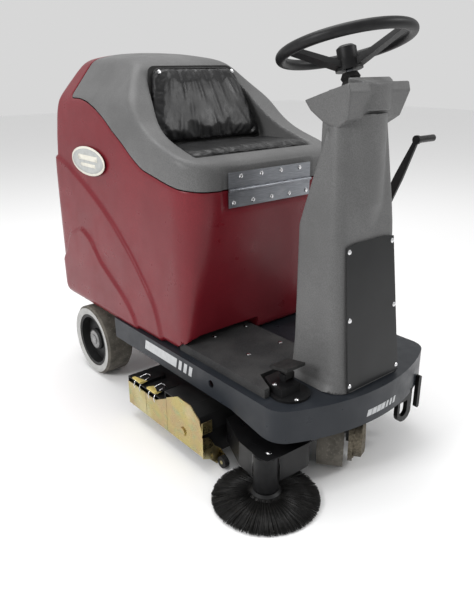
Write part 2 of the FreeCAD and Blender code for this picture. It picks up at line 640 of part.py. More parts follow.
# side view of the whole moulded body, front to rear over the top
BODY_SIDE_VIEW = [(-100, 289), (-160, 700), (-167, 740), (-167, 868), (-140, 888), (-96, 897), (-24, 918),
                  (50, 938), (100, 955), (140, 985), (262, 1160), (320, 1180), (420, 1192), (560, 1196),
                  (640, 1184), (684, 1150), (697, 1040), (712, 886), (737, 770), (750, 650), (755, 400),
                  (745, 318), (718, 289)]
# half of its front view, from the floor line up the flank and over the shoulder
BODY_FLANK = [(320, 289), (320, 900), (304, 1000), (290, 1041), (185, 1168), (90, 1191), (0, 1198)]
# the seam between tank and cover, and the cover's back edge
COVER_SIDE_VIEW = [(-240, 799), (-90, 812), (100, 846), (214, 914), (280, 950), (400, 1012), (470, 1033),
                   (598, 1042), (598, 1260), (-240, 1260)]
SEAM_GAP = 1.5


def body_plan(inset):
    """The body from above: straight flanks with wide front corners and tighter rear ones."""
    side, front, rear = num(s.tank_side) - inset, -170 + inset, 760 - inset
    wide, tight = num(s.tank_corner) - inset, num(s.tank_rear_corner) - inset
    pinch = 1 - math.sqrt(0.5)
    edges = []
    for sign, first, second, corner, end in ((1, side, front, wide, -1), (-1, side, rear, tight, 1)):
        near, far = Vector(sign * first, second - end * corner, 0), Vector(sign * (first - corner), second, 0)
        knee = Vector(sign * (first - pinch * corner), second - end * pinch * corner, 0)
        edges += [(near, knee, far), (Vector(-far.x, far.y, 0), Vector(-knee.x, knee.y, 0),
                                      Vector(-near.x, near.y, 0))]
    right_front, left_front, left_rear, right_rear = edges[0], edges[1], edges[2], edges[3]
    loop = [right_front, left_front, left_rear, right_rear]
    shapes = []
    for i, (start, middle, end) in enumerate(loop):
        shapes.append(Part.Arc(start, middle, end).toShape())
        following = loop[(i + 1) % 4][0]
        shapes.append(Part.LineSegment(end, following).toShape())
    return Part.Face(Part.Wire(shapes)).extrude(Vector(0, 0, 1300))


def body_solid(inset):
    """The moulded body as one form: side view, front view and plan intersected."""
    front_view = BODY_FLANK + [(-x, z) for x, z in reversed(BODY_FLANK[:-1])]
    if inset:
        return (shrunk_prism("YZ", BODY_SIDE_VIEW, -400, 400, inset)
                .common(shrunk_prism("XZ", front_view, -300, 900, inset)).common(body_plan(inset)))
    return (prism("YZ", BODY_SIDE_VIEW, -400, 400).common(prism("XZ", front_view, -300, 900))
            .common(body_plan(0)))


def seat_recess(grow):
    """The space for cushion and backrest, cut into the cover."""
    floor, back = num(s.seat_floor) - grow, num(s.back_top) - 4 + grow
    wide, narrow = num(s.seat_side) + grow, num(s.seat_top_side) + 5 + grow
    front_view = [(-wide, floor), (wide, floor), (wide, floor + 25), (narrow, back), (-narrow, back),
                  (-wide, floor + 25)]
    lean = (num(s.back_head) - num(s.back_foot)) / 207
    foot = num(s.back_foot) + 18 + grow
    side_view = [(-92 - grow, floor), (foot, floor), (foot + lean * (back - floor), back),
                 (foot + lean * (back - floor), 1300), (-92 - grow, 1300)]
    return prism("XZ", front_view, -300, 500).common(prism("YZ", side_view, -400, 400))


def step_relief(grow):
    """The room in the tank's foot that the step plate's rear edge runs under."""
    front_view = [(-301, 280), (-301, 321), (-284, 334), (-258, 341), (-200, 344), (-14, 344), (-14, 280)]
    return shrunk_prism("XZ", front_view, -300, -50 + grow, -grow)


def body_parts():
    """Tank and seat cover: two shells that meet along the seam."""
    outer = body_solid(0).cut(step_relief(0))
    inner = body_solid(num(s.tank_wall)).cut(step_relief(num(s.tank_wall)))
    cover_zone = prism("YZ", COVER_SIDE_VIEW, -400, 400)
    cover_reach = shrunk_prism("YZ", COVER_SIDE_VIEW, -400, 400, -SEAM_GAP)
    feature("tank_shell", largest(outer.cut(inner).cut(cover_reach)))
    hollow = inner.cut(seat_recess(num(s.tank_wall)))
    cover = outer.common(cover_zone).cut(seat_recess(0)).cut(hollow)
    feature("seat_cover", largest(cover))


body_parts()

# piano hinge: two leaves with alternate knuckles on one pin
KNUCKLES = 17


def hinge_leaf(upward):
    """One leaf: a plate and every second knuckle."""
    half, wide, side = num(s.leaf_half), num(s.leaf_width), num(s.leaf_side)
    axis_y, axis_z = num(s.hinge_along) - 3.5, num(s.hinge_height)
    low, high = (axis_z + 5, axis_z + 3 + wide) if upward else (axis_z - 3 - wide, axis_z - 5)
    leaf = Part.makeBox(2 * half, 3, high - low, Vector(side - half, axis_y + 3.5, low))
    pitch = 2 * half / KNUCKLES
    for i in range(0 if upward else 1, KNUCKLES, 2):
        start = side - half + i * pitch + 0.3
        leaf = leaf.fuse(Part.makeCylinder(5, pitch - 0.6, Vector(start, axis_y, axis_z), Vector(1, 0, 0)))
        web_low = axis_z if upward else axis_z - 6
        leaf = leaf.fuse(Part.makeBox(pitch - 0.6, 3, 6, Vector(start, axis_y + 2, web_low)))
        leaf = leaf.fuse(Part.makeBox(pitch - 0.6, 4.5, 2, Vector(start, axis_y + 2,
                                                                  axis_z + 4 if upward else axis_z - 6)))
    pin_hole = Part.makeCylinder(2.55, 400, Vector(-200, axis_y, axis_z), Vector(1, 0, 0))
    return leaf.cut(pin_hole).removeSplitter()


feature("hinge_upper_leaf", hinge_leaf(True))
feature("hinge_lower_leaf", hinge_leaf(False))
pin_start = (s.leaf_side - s.leaf_half - 2, s.hinge_along - 3.5, s.hinge_height)
node(rod("hinge_pin", 2.5, s.leaf_half * 2 + 4, pin_start, "x"), "hinge_pin")
leaf_face = num(s.hinge_along)
cover_screws = [(Vector(-137 + 80.6 * i, leaf_face, num(s.hinge_height) + 39), FORWARD) for i in range(4)]
body_screws += [(Vector(-165 + 75.5 * i, leaf_face, num(s.hinge_height) - 37), FORWARD) for i in range(5)]

# seat: cushion on the cover's shelf and a backrest pad on its slope
cushion_points = [(5 - s.seat_side, -88), (s.seat_side - 5, -88), (s.seat_side - 9, 148),
                  (9 - s.seat_side, 148)]
node(padded_body("seat_cushion", "XY", cushion_points, 20, (0, 0, s.seat_floor + 0.5)), "seat_cushion")


def backrest():
    """The back pad, a slab parallel to the cover's slope, narrower at the top."""
    lean = (num(s.back_head) - num(s.back_foot)) / 207
    low, high, back = 912, num(s.back_top) - 9, num(s.back_foot) + 17
    face = back - 30
    offset = lean * (low - num(s.seat_floor))
    rise = lean * (high - low)
    side_view = [(face + offset, low), (back + offset, low), (back + offset + rise, high),
                 (face + offset + rise, high)]
    front_view = [(6 - num(s.seat_side), low), (num(s.seat_side) - 6, low), (num(s.seat_top_side), high),
                  (-num(s.seat_top_side), high)]
    return prism("YZ", side_view, -300, 300).common(prism("XZ", front_view, -300, 500))


feature("seat_backrest", backrest())

# ---------------------------------------------------------------- inside the tank

tray_skin = box("tray_skin", (s.battery_width * 2 + 22, s.battery_length * 2 + 22, 46), (-191, 128, 295))
tray_void = box("tray_void", (s.battery_width * 2 + 16, s.battery_length * 2 + 16, 50), (-188, 131, 298))
node(minus("battery_tray", tray_skin, tray_void), "battery_tray")
cells = []
for column in range(2):
    for line in range(2):
        cells.append(box(f"battery_{column}_{line}", (s.battery_width, s.battery_length, s.battery_height),
                         (-184 + column * 188, 134 + line * 268, 298.2)))
for column in range(2):
    for line in range(2):
        for end in (40, 220):
            cells.append(rod(f"post_{column}_{line}_{end}", 9, 18,
                             (-94 + column * 188, 134 + line * 268 + end, s.battery_height + 298.2)))
node(group("batteries", *cells), "batteries")

FAN = (110, 20, 300)
fan_skin = Part.makeCylinder(84, 74, Vector(*FAN))
fan_void = Part.makeCylinder(80, 68, Vector(FAN[0], FAN[1], FAN[2] + 3))
inlet = Part.makeCylinder(36, 30, Vector(FAN[0], FAN[1], FAN[2] - 10))
outlet = Part.makeBox(50, 120, 40, Vector(FAN[0] + 30, FAN[1] - 110, FAN[2] + 15))
outlet_skin = Part.makeBox(56, 100, 46, Vector(FAN[0] + 27, FAN[1] - 106, FAN[2] + 12))
fan_motor = Part.makeCylinder(42, 70, Vector(FAN[0], FAN[1], FAN[2] + 74))
feature("fan_housing", fan_skin.fuse(outlet_skin).cut(fan_void).cut(inlet).cut(outlet).fuse(fan_motor)
        .removeSplitter())
blades = Part.makeCylinder(74, 3, Vector(0, 0, FAN[2] + 58)).fuse(
    Part.makeCylinder(16, 38, Vector(0, 0, FAN[2] + 22)))
for i in range(12):
    blade = Part.makeBox(34, 2.5, 44, Vector(38, -1.25, FAN[2] + 14))
    blade.rotate(Vector(38, 0, 0), UP, 28)
    blade.rotate(Vector(0, 0, 0), UP, 30 * i)
    blades = blades.fuse(blade)
blades.translate(Vector(FAN[0], FAN[1], 0))
feature("fan_impeller", blades.removeSplitter())
node(box("dust_filter", (400, 190, 70), (-200, -96, 470)), "dust_filter")

# ---------------------------------------------------------------- broom deck

HOOD_SIDE_VIEW = [(-292, 50), (-292, 130), (-265, 167), (-225, 190), (-97, 190), (-97, 150), (133, 150),
                  (133, 50)]


LATCHES = {"middle": -26, "rear": 64}
LATCH_HINGE = -312
LATCH_HALF = 24


def deck_housing():
    """The black hood over the broom and the low bay for the two debris trays, open to the right."""
    left, right = num(s.deck_left), num(s.deck_right) + num(s.deck_sheet)
    skin = prism("YZ", HOOD_SIDE_VIEW, right, left)
    chamber = [(-289, 40), (-289, 129), (-263.5, 164.5), (-224, 187), (-100, 187), (-100, 40)]
    bay = [(-94, 40), (-94, 147), (130, 147), (130, 40)]
    for hollow in (chamber, bay):
        skin = skin.cut(prism("YZ", hollow, right - 1, left - num(s.deck_sheet)))
    window = Part.makeBox(560, 20, 74, Vector(-340, -107, 60))
    shaft_hole = Part.makeCylinder(12.05, 22, Vector(left - 12, num(s.broom_along), num(s.broom_height)),
                                   Vector(1, 0, 0))
    skin = skin.cut(window)
    along = Vector(1, 0, 0)
    bearing = Part.makeCylinder(24, 13, Vector(left - num(s.deck_sheet) - 8, num(s.broom_along),
                                               num(s.broom_height)), along)
    skin = skin.fuse(bearing).cut(shaft_hole)
    for front, rear in ((-94, -84), (8, 25), (120, 130)):
        skin = skin.fuse(Part.makeBox(left - right, rear - front, 2.7, Vector(right, front, 50)))
    for middle in LATCHES.values():
        for start in (middle - LATCH_HALF - 3.5, middle + LATCH_HALF + 0.5):
            skin = skin.fuse(Part.makeBox(14, 3, 12, Vector(LATCH_HINGE - 7, start, 149)))
        pin_foot = Vector(LATCH_HINGE, middle - LATCH_HALF - 3, 157)
        skin = skin.fuse(Part.makeCylinder(2.5, 2 * LATCH_HALF + 6, pin_foot, Vector(0, 1, 0)))
    return skin.removeSplitter()


feature("deck_housing", deck_housing())

# yellow end plate of the broom chamber, with the idler stub and the front roller's bracket
side_plate = prism("YZ", [(-109.5, 50), (-109.5, 173), (-173, 204), (-239, 203), (-284, 171), (-296, 134),
                          (-296, 50)],
                   num(s.deck_right), num(s.deck_right) + num(s.deck_sheet))
broom_axis = Vector(num(s.deck_right), num(s.broom_along), num(s.broom_height))
side_plate = side_plate.fuse(Part.makeCylinder(15, 4, broom_axis - Vector(4, 0, 0), Vector(1, 0, 0)))
side_plate = side_plate.fuse(Part.makeCylinder(12, 30, broom_axis, Vector(1, 0, 0)))
clip = Part.makeBox(36, 3, 40, Vector(num(s.deck_right), -299, 128))
bracket = prism("XZ", [(num(s.deck_right), 118), (-372, 112), (-350, 74), (-326, 52), (-326, 14), (-345, 8),
                       (-372, 36), (num(s.deck_right), 46)], -299, -296)
roller_tab = prism("YZ", [(-299, 12), (-299, 50), (-322, 38), (-334, 24), (-322, 10)], -329, -326)
roller_axis = Vector(-346, -322, 24)
stub = Part.makeCylinder(6, 20, roller_axis, Vector(1, 0, 0))
side_plate = side_plate.fuse(clip).fuse(bracket).fuse(roller_tab).fuse(stub)
feature("broom_side_plate", side_plate.removeSplitter())
roller = Part.makeCylinder(19, 16, roller_axis + Vector(0.5, 0, 0), Vector(1, 0, 0))
roller_bore = Part.makeCylinder(6.05, 30, roller_axis - Vector(5, 0, 0), Vector(1, 0, 0))
feature("deck_roller", roller.cut(roller_bore))


def debris_tray(name, front, rear, face_front, crest):
    """A pull-out tray: an open box behind its yellow face plate, with a low wall on the broom's side."""
    face, sheet = num(s.deck_right), num(s.deck_sheet)
    length, floor, top = 640, 53, 131
    tray = Part.makeBox(length, rear - front, top - floor, Vector(face + sheet, front, floor))
    inside = Vector(face + sheet + 2, front + 2, floor + 2)
    tray = tray.cut(Part.makeBox(length - 4, rear - front - 4, top, inside))
    tray = tray.cut(Part.makeBox(length - 60, 10, top, Vector(face + sheet + 30, front - 5, floor + 22)))
    outline = [(rear + 1.5, 50), (rear + 1.5, 134), (face_front + 62, 136), (face_front, crest),
               (face_front, 50)]
    feature(name, tray.fuse(prism("YZ", outline, face, face + sheet)).removeSplitter())


debris_tray("middle_tray", -91.5, 14, -108, 168)
debris_tray("rear_tray", 19, 128, 17.5, 135)


def tray_latch(name, along):
    """A black lever that lies across the deck and holds a tray's face plate shut."""
    outline = [(LATCH_HINGE + 6, 152), (LATCH_HINGE + 6, 162), (-372, 160), (-392, 166), (-402, 166),
               (-402, 161), (-392, 158), (-378, 152)]
    lever = prism("XZ", outline, along - LATCH_HALF, along + LATCH_HALF)
    pin_hole = Part.makeCylinder(2.55, 60, Vector(LATCH_HINGE, along - 30, 157), Vector(0, 1, 0))
    return feature(name, lever.cut(pin_hole))


for which, middle in LATCHES.items():
    tray_latch(f"{which}_tray_latch", middle)

skirts = [Part.makeBox(630, 3.5, 35, Vector(-350, -289, 40)), Part.makeBox(630, 5, 78, Vector(-350, 133, 12))]
feature("deck_skirts", Part.makeCompound(skirts))

# main broom: core tube with its shaft and driven pulley, and the bristle cylinder around it
core = Part.makeCylinder(num(s.broom_core), 638, Vector(-374, num(s.broom_along), num(s.broom_height)),
                         Vector(1, 0, 0))
shaft_start = Vector(254, num(s.broom_along), num(s.broom_height))
core = core.fuse(Part.makeCylinder(12, 60, shaft_start, Vector(1, 0, 0)))
core = core.cut(Part.makeCylinder(12.05, 12, Vector(-375, num(s.broom_along), num(s.broom_height)),
                                  Vector(1, 0, 0)))


def pulley(radius, along, height):
    """A flat belt pulley in the belt's plane."""
    face = num(s.belt_side)
    wheel = Part.makeCylinder(radius, 14, Vector(face - 7, along, height), Vector(1, 0, 0))
    return wheel.fuse(Part.makeCylinder(radius + 3, 2, Vector(face - 9, along, height), Vector(1, 0, 0)))


BROOM_PULLEY, MOTOR_PULLEY = 40, 20
feature("main_broom_core", core.fuse(pulley(BROOM_PULLEY, num(s.broom_along), num(s.broom_height)))
        .removeSplitter())
bristles = Part.makeCylinder(num(s.broom_radius), 614, Vector(-354, num(s.broom_along), num(s.broom_height)),
                             Vector(1, 0, 0))
feature("main_broom_bristles", bristles.cut(
    Part.makeCylinder(num(s.broom_core), 640, Vector(-374, num(s.broom_along), num(s.broom_height)),
                      Vector(1, 0, 0))))
motor_axis = Vector(150, num(s.motor_along), num(s.motor_height))
motor = Part.makeCylinder(30, 128, motor_axis, Vector(1, 0, 0))
motor = motor.cut(Part.makeCylinder(7.05, 20, motor_axis + Vector(108, 0, 0), Vector(1, 0, 0)))
motor = motor.fuse(Part.makeBox(110, 50, 20, Vector(160, num(s.motor_along) - 25, 190)))
feature("broom_motor", motor.removeSplitter())
drive_pulley = pulley(MOTOR_PULLEY, num(s.motor_along), num(s.motor_height))
feature("motor_pulley", drive_pulley.fuse(Part.makeCylinder(7, 32, motor_axis + Vector(110, 0, 0),
                                                            Vector(1, 0, 0))).removeSplitter())


def belt_loop(grow):
    """The belt's outline round both pulleys, grown by a thickness."""
    big, small = BROOM_PULLEY + grow, MOTOR_PULLEY + grow
    low = Vector(0, num(s.broom_along), num(s.broom_height))
    high = Vector(0, num(s.motor_along), num(s.motor_height))
    line = high - low
    tangent = math.acos((big - small) / line.Length)
    heading = math.atan2(line.z, line.y)
    corners = []
    for centre, radius, signs in ((low, big, (1, -1)), (high, small, (-1, 1))):
        for sign in signs:
            angle = heading + sign * tangent
            corners.append((centre.y + radius * math.cos(angle), centre.z + radius * math.sin(angle)))
    start = num(s.belt_side) - 5
    loop = prism("YZ", corners, start, start + 10)
    for centre, radius in ((low, big), (high, small)):
        loop = loop.fuse(Part.makeCylinder(radius, 10, Vector(start, centre.y, centre.z), Vector(1, 0, 0)))
    return loop


feature("broom_belt", belt_loop(5).cut(belt_loop(0.4)).removeSplitter())

# ---------------------------------------------------------------- side brush

ARM_OUTLINE = [(-196, -304), (-306, -300), (-356, -419), (-362, -480), (-368, -508), (-358, -540),
               (-305, -547), (-215, -550), (-196, -548)]


def brush_arm():
    """The folded arm that carries the side brush: top plate, skirts and its hinge tube."""
    top, skirt = num(s.arm_height), 74
    inner = [(-196, -307), (-304, -303), (-352.5, -419.5), (-358.5, -480.5), (-364.3, -507.5), (-355.3, -537),
             (-305, -543.5), (-215.5, -546.5), (-196, -544.5)]
    arm = prism("XY", ARM_OUTLINE, skirt, top + 3)
    arm = arm.cut(prism("XY", inner, skirt - 1, top))
    centre = Vector(num(s.brush_side), num(s.brush_along), skirt - 1)
    gap = Part.makeBox(75, 90, top - skirt + 1, centre - Vector(37.5, 70, 0))
    gap.rotate(centre, UP, -42)
    arm = arm.cut(gap).cut(Part.makeBox(20, 300, top - skirt + 1, Vector(-206, -580, skirt - 1)))
    tube = Part.makeCylinder(8, 264, Vector(num(s.arm_pivot_side), -562, num(s.arm_pivot_height)),
                             Vector(0, 1, 0))
    saddle = Part.makeBox(22, 210, 18, Vector(-207, -530, top))
    return arm.fuse(saddle).fuse(tube).removeSplitter()


feature("side_brush_arm", brush_arm())
axis = (s.brush_side, s.brush_along)
node(rod("side_brush_motor", 36, s.arm_height - 42, (*axis, 42)), "side_brush_motor")
hub_points = [(0, 22), (s.brush_hub, 22), (s.brush_hub, 32), (36, 38), (8, 38), (8, 41.7), (0, 41.7)]
node(turned_body("side_brush_hub", hub_points, (*axis, 0)), "side_brush_hub")
bristle_points = [(22, 22), (22, 15), (90, 5), (156, 2), (s.brush_radius, 5), (120, 17), (70, 27),
                  (s.brush_hub, 31), (s.brush_hub, 22)]
node(turned_body("side_brush_bristles", bristle_points, (*axis, 0)), "side_brush_bristles")

# ---------------------------------------------------------------- controls on the floor and at the side

HOUSING_TOP = 320


def pedal_base():
    """The black housing on the floor under the accelerator, on a round foot, with two ears."""
    centre, foot = num(s.pedal_side), num(s.frame_top)
    base = Part.makeCylinder(57, 7, Vector(-226, -486, foot))
    block = [(-271, -500), (-271, -452), (-253, -410), (-200, -410), (-200, -500)]
    base = base.fuse(prism("XY", block, foot, HOUSING_TOP))
    for x in (centre - 19, centre + 13):
        base = base.fuse(Part.makeBox(6, 20, 23, Vector(x, -472, HOUSING_TOP - 1)))
    pin = Part.makeCylinder(4, 38, Vector(centre - 19, num(s.pedal_along), num(s.pedal_height) - 6),
                            Vector(1, 0, 0))
    return base.fuse(pin).removeSplitter()


feature("pedal_base", pedal_base())


def pedal():
    """The treadle: a pad tilted toward the driver on a short stem."""
    centre, half = num(s.pedal_side), num(s.pedal_width) / 2
    pad = prism("YZ", [(-497, 366), (-497, 375), (-427, 362), (-427, 353)], centre - half, centre + half)
    stem = prism("YZ", [(-470, 324), (-454, 324), (-448, 357), (-476, 363)], centre - 12.5, centre + 12.5)
    hole = Part.makeCylinder(4.05, 60, Vector(centre - 30, num(s.pedal_along), num(s.pedal_height) - 6),
                             Vector(1, 0, 0))
    return pad.fuse(stem).cut(hole).removeSplitter()


feature("accelerator_pedal", pedal())
body_screws += [(Vector(-262, -462, HOUSING_TOP), UP), (Vector(-245, -530, num(s.frame_top) + 7), UP)]


def lift_lever():
    """The long hand lever on the left: a tapered flat arm with a cross grip."""
    pivot = (num(s.lever_pivot_along), num(s.lever_pivot_height))
    grip = (num(s.grip_along), num(s.grip_height))
    length = math.hypot(grip[0] - pivot[0], grip[1] - pivot[1])
    step = ((grip[0] - pivot[0]) / length, (grip[1] - pivot[1]) / length)
    left_edge, right_edge = [], []
    for part, half in ((0, 17), (0.82, 14), (1, 6.5)):
        at = (pivot[0] + step[0] * length * part, pivot[1] + step[1] * length * part)
        left_edge.append((at[0] - step[1] * half, at[1] + step[0] * half))
        right_edge.append((at[0] + step[1] * half, at[1] - step[0] * half))
    face = num(s.lever_side)
    arm = prism("YZ", left_edge + right_edge[::-1], face - 4, face + 4)
    arm = arm.fuse(Part.makeCylinder(20, 8, Vector(face - 4, *pivot), Vector(1, 0, 0)))
    arm = arm.fuse(Part.makeCylinder(13, 8, Vector(face - 4, *grip), Vector(1, 0, 0)))
    grip_start = Vector(face, *grip)
    arm = arm.fuse(Part.makeCylinder(num(s.grip_radius), num(s.grip_length), grip_start, Vector(1, 0, 0)))
    return arm.cut(Part.makeCylinder(8.05, 40, Vector(face - 20, *pivot), Vector(1, 0, 0))).removeSplitter()


feature("lift_lever", lift_lever())

# ---------------------------------------------------------------- front tow loop and tie-down bar

def front_loops(frame):
    """A bent loop under the apron and a tie-down bar on its left face."""
    loop = Part.makeCylinder(34, 14, Vector(165, -600, 130), Vector(0, 1, 0))
    loop = loop.fuse(Part.makeBox(68, 14, 70, Vector(131, -600, 130)))
    hole = Part.makeCylinder(18, 14, Vector(160, -600, 133), Vector(0, 1, 0))
    hole = hole.fuse(Part.makeBox(36, 14, 34, Vector(142, -600, 133)))
    loop = loop.cut(hole)
    bar = Part.makeBox(14, 14, 100, Vector(240, -594, 118))
    bar = bar.fuse(Part.makeCylinder(7, 14, Vector(247, -594, 118), Vector(0, 1, 0)))
    bar = bar.fuse(Part.makeCylinder(7, 14, Vector(247, -594, 218), Vector(0, 1, 0)))
    return Part.makeCompound([largest(loop.cut(frame)), largest(bar.removeSplitter().cut(frame))])


frame_node = next(obj for obj in NODES if obj.Label == "main_frame")
feature("front_loops", front_loops(frame_node.Shape.translated(Vector(-num(s.shift_x), -num(s.shift_y), 0))))

screw_group("body_screws", body_screws)
slope = (num(s.back_head) - num(s.back_foot)) / 207
pad_face = Vector(0, -1, slope).normalize()
for side in (-1, 1):
    low = num(s.back_top) - 22
    on_pad = num(s.back_foot) - 13 + slope * (low - num(s.seat_floor))
    cover_screws.append((Vector(side * 150, on_pad, low), pad_face))
screw_group("cover_screws", cover_screws)

# ---------------------------------------------------------------- export

DOC.recompute()
for obj in DOC.Objects:
    if "Invalid" in obj.State or "Error" in obj.State:
        raise RuntimeError(f"{obj.Name} did not compute: {obj.State}")
for obj in NODES:
    if obj.Shape.isNull() or not obj.Shape.isValid():
        raise RuntimeError(f"{obj.Label} has no valid shape")
os.makedirs("parts", exist_ok=True)
for obj in NODES:
    obj.Shape.exportStep(f"parts/{obj.Label}.step")
print(len(NODES), "sub-parts written")
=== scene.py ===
import json
import math

import bpy
import numpy as np
from mathutils import Matrix, Vector


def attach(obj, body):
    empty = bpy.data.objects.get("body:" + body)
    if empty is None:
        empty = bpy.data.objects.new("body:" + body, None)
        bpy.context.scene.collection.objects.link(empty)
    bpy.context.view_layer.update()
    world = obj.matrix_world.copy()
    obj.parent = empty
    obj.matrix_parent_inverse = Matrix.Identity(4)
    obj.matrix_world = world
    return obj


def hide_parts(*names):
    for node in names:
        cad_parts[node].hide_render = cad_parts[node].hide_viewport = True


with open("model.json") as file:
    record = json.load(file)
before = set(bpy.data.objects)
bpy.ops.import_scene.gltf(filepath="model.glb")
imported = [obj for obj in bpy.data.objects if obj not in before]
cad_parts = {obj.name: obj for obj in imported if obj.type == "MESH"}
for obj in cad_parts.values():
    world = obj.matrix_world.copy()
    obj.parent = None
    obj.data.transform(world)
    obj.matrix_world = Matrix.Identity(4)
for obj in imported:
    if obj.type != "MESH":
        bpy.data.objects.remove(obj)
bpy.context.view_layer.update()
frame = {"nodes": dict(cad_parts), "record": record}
NODES = frame["nodes"]

# The machine stands on z = 0 and drives toward -Y. SHIFT is where its centre plane and its own
# zero lie in the frame, so a point (x, y, z) in millimetres from them is at(x, y, z).
SHIFT = Vector((0.0745, -0.0445, 0.0))


def at(x, y, z):
    """A point given in millimetres about the machine's own zero."""
    return Vector((x, y, z)) / 1000.0 + SHIFT


# ---------------------------------------------------------------- camera, light and floor

def make_camera():
    eye = at(-1292.6, -1552.5, 1150)
    pitch, yaw, roll = math.radians(-20.836), math.radians(39.45), math.radians(0.39)
    ahead = Vector((math.cos(pitch) * math.sin(yaw), math.cos(pitch) * math.cos(yaw), math.sin(pitch)))
    flat_right = Vector((math.cos(yaw), -math.sin(yaw), 0))
    flat_down = ahead.cross(flat_right)
    right = flat_right * math.cos(roll) + flat_down * math.sin(roll)
    down = flat_down * math.cos(roll) - flat_right * math.sin(roll)
    data = bpy.data.cameras.new("camera")
    data.sensor_fit, data.sensor_width, data.sensor_height = "VERTICAL", 36, 36
    data.lens, data.clip_end = 37.07, 60
    camera = bpy.data.objects.new("camera", data)
    bpy.context.collection.objects.link(camera)
    turn = Matrix((right, -down, -ahead)).transposed()
    camera.matrix_world = Matrix.Translation(eye) @ turn.to_4x4()
    bpy.context.scene.camera = camera


def area_light(name, place, target, size, power, colour=(1, 1, 1)):
    data = bpy.data.lights.new(name, "AREA")
    data.shape, data.size, data.energy, data.color = "SQUARE", size, power, colour
    lamp = bpy.data.objects.new(name, data)
    lamp.location = place
    lamp.rotation_euler = (Vector(target) - Vector(place)).to_track_quat("-Z", "Y").to_euler()
    bpy.context.collection.objects.link(lamp)


make_camera()
area_light("key", (-4.0, 0.2, 2.6), (0, 0, 0.6), 1.4, 95)
area_light("front", (2.5, -2.9, 3.1), (0, 0, 0.9), 0.9, 48)
area_light("top", (0.2, 0.8, 4.4), (0, 0, 0.5), 3.0, 95)
world = bpy.data.worlds.new("studio")
world.use_nodes = True
world.node_tree.nodes["Background"].inputs[0].default_value = (1, 1, 1, 1)
world.node_tree.nodes["Background"].inputs[1].default_value = 0.68
bpy.context.scene.world = world
bpy.context.scene.view_settings.view_transform = "Standard"


def floor():
    mesh = bpy.data.meshes.new("floor")
    reach = 14.0
    mesh.from_pydata([(-reach, -reach, 0), (reach, -reach, 0), (reach, reach, 0), (-reach, reach, 0)], [],
                     [(0, 1, 2, 3)])
    plane = bpy.data.objects.new("floor", mesh)
    bpy.context.collection.objects.link(plane)
    paper = bpy.data.materials.new("studio_paper")
    paper.use_nodes = True
    shader = paper.node_tree.nodes["Principled BSDF"]
    shader.inputs["Base Color"].default_value = (0.93, 0.93, 0.93, 1)
    shader.inputs["Roughness"].default_value = 0.9
    mesh.materials.append(paper)


floor()

# ---------------------------------------------------------------- materials

class Graph:
    """A material's nodes, built from the object's own coordinates."""

    def __init__(self, name, rough, metal):
        self.material = bpy.data.materials.new(name)
        self.material.use_nodes = True
        self.nodes, self.links = self.material.node_tree.nodes, self.material.node_tree.links
        self.shader = self.nodes["Principled BSDF"]
        self.shader.inputs["Roughness"].default_value = rough
        self.shader.inputs["Metallic"].default_value = metal
        self.shader.inputs["Specular IOR Level"].default_value = 0.28
        self.coordinates = self.nodes.new("ShaderNodeTexCoord").outputs["Object"]

    def stretched(self, stretch):
        mapping = self.nodes.new("ShaderNodeMapping")
        mapping.inputs["Scale"].default_value = stretch
        self.links.new(self.coordinates, mapping.inputs["Vector"])
        return mapping.outputs["Vector"]

    def noise(self, scale, detail=3.0, stretch=None):
        node = self.nodes.new("ShaderNodeTexNoise")
        node.inputs["Scale"].default_value = scale
        node.inputs["Detail"].default_value = detail
        self.links.new(self.stretched(stretch) if stretch else self.coordinates, node.inputs["Vector"])
        return node.outputs["Fac"]

    def cells(self, scale):
        node = self.nodes.new("ShaderNodeTexVoronoi")
        node.feature = "DISTANCE_TO_EDGE"
        node.inputs["Scale"].default_value = scale
        self.links.new(self.coordinates, node.inputs["Vector"])
        return node.outputs["Distance"]

    def spread(self, value, low, high, to_low, to_high):
        node = self.nodes.new("ShaderNodeMapRange")
        for key, number in (("From Min", low), ("From Max", high), ("To Min", to_low), ("To Max", to_high)):
            node.inputs[key].default_value = number
        self.links.new(value, node.inputs["Value"])
        return node.outputs["Result"]

    def mix(self, amount, first, second):
        node = self.nodes.new("ShaderNodeMix")
        node.data_type = "RGBA"
        self.links.new(amount, node.inputs["Factor"])
        for socket, colour in ((node.inputs["A"], first), (node.inputs["B"], second)):
            if isinstance(colour, tuple):
                socket.default_value = (*colour, 1)
            else:
                self.links.new(colour, socket)
        return node.outputs["Result"]

    def colour(self, value):
        if isinstance(value, tuple):
            self.shader.inputs["Base Color"].default_value = (*value, 1)
        else:
            self.links.new(value, self.shader.inputs["Base Color"])

    def rough(self, value):
        self.links.new(value, self.shader.inputs["Roughness"])

    def bump(self, *layers):
        """Layers are (height, depth in metres), each laid over the one before."""
        normal = None
        for height, depth in layers:
            node = self.nodes.new("ShaderNodeBump")
            node.inputs["Strength"].default_value = 1.0
            node.inputs["Distance"].default_value = depth
            self.links.new(height, node.inputs["Height"])
            if normal is not None:
                self.links.new(normal, node.inputs["Normal"])
            normal = node.outputs["Normal"]
        self.links.new(normal, self.shader.inputs["Normal"])


def moulded(name, base, deep, rough, grain, pebble, coat=0.0):
    """Rotation-moulded plastic: fine pebble grain, cloudy colour and faint handling marks."""
    g = Graph(name, rough, 0.0)
    cloud = g.spread(g.noise(6, 4), 0.35, 0.65, 0, 0.5)
    body = g.mix(cloud, base, deep)
    speck = g.spread(g.noise(pebble * 0.6, 2), 0.42, 0.60, 0, 0.55)
    g.colour(g.mix(speck, body, deep))
    g.rough(g.spread(g.noise(18, 5), 0.3, 0.7, rough - 0.06, rough + 0.1))
    g.bump((g.noise(pebble, 3), grain), (g.noise(3.5, 2), 0.0012))
    g.shader.inputs["Coat Weight"].default_value = coat
    g.shader.inputs["Coat Roughness"].default_value = 0.25
    return g.material


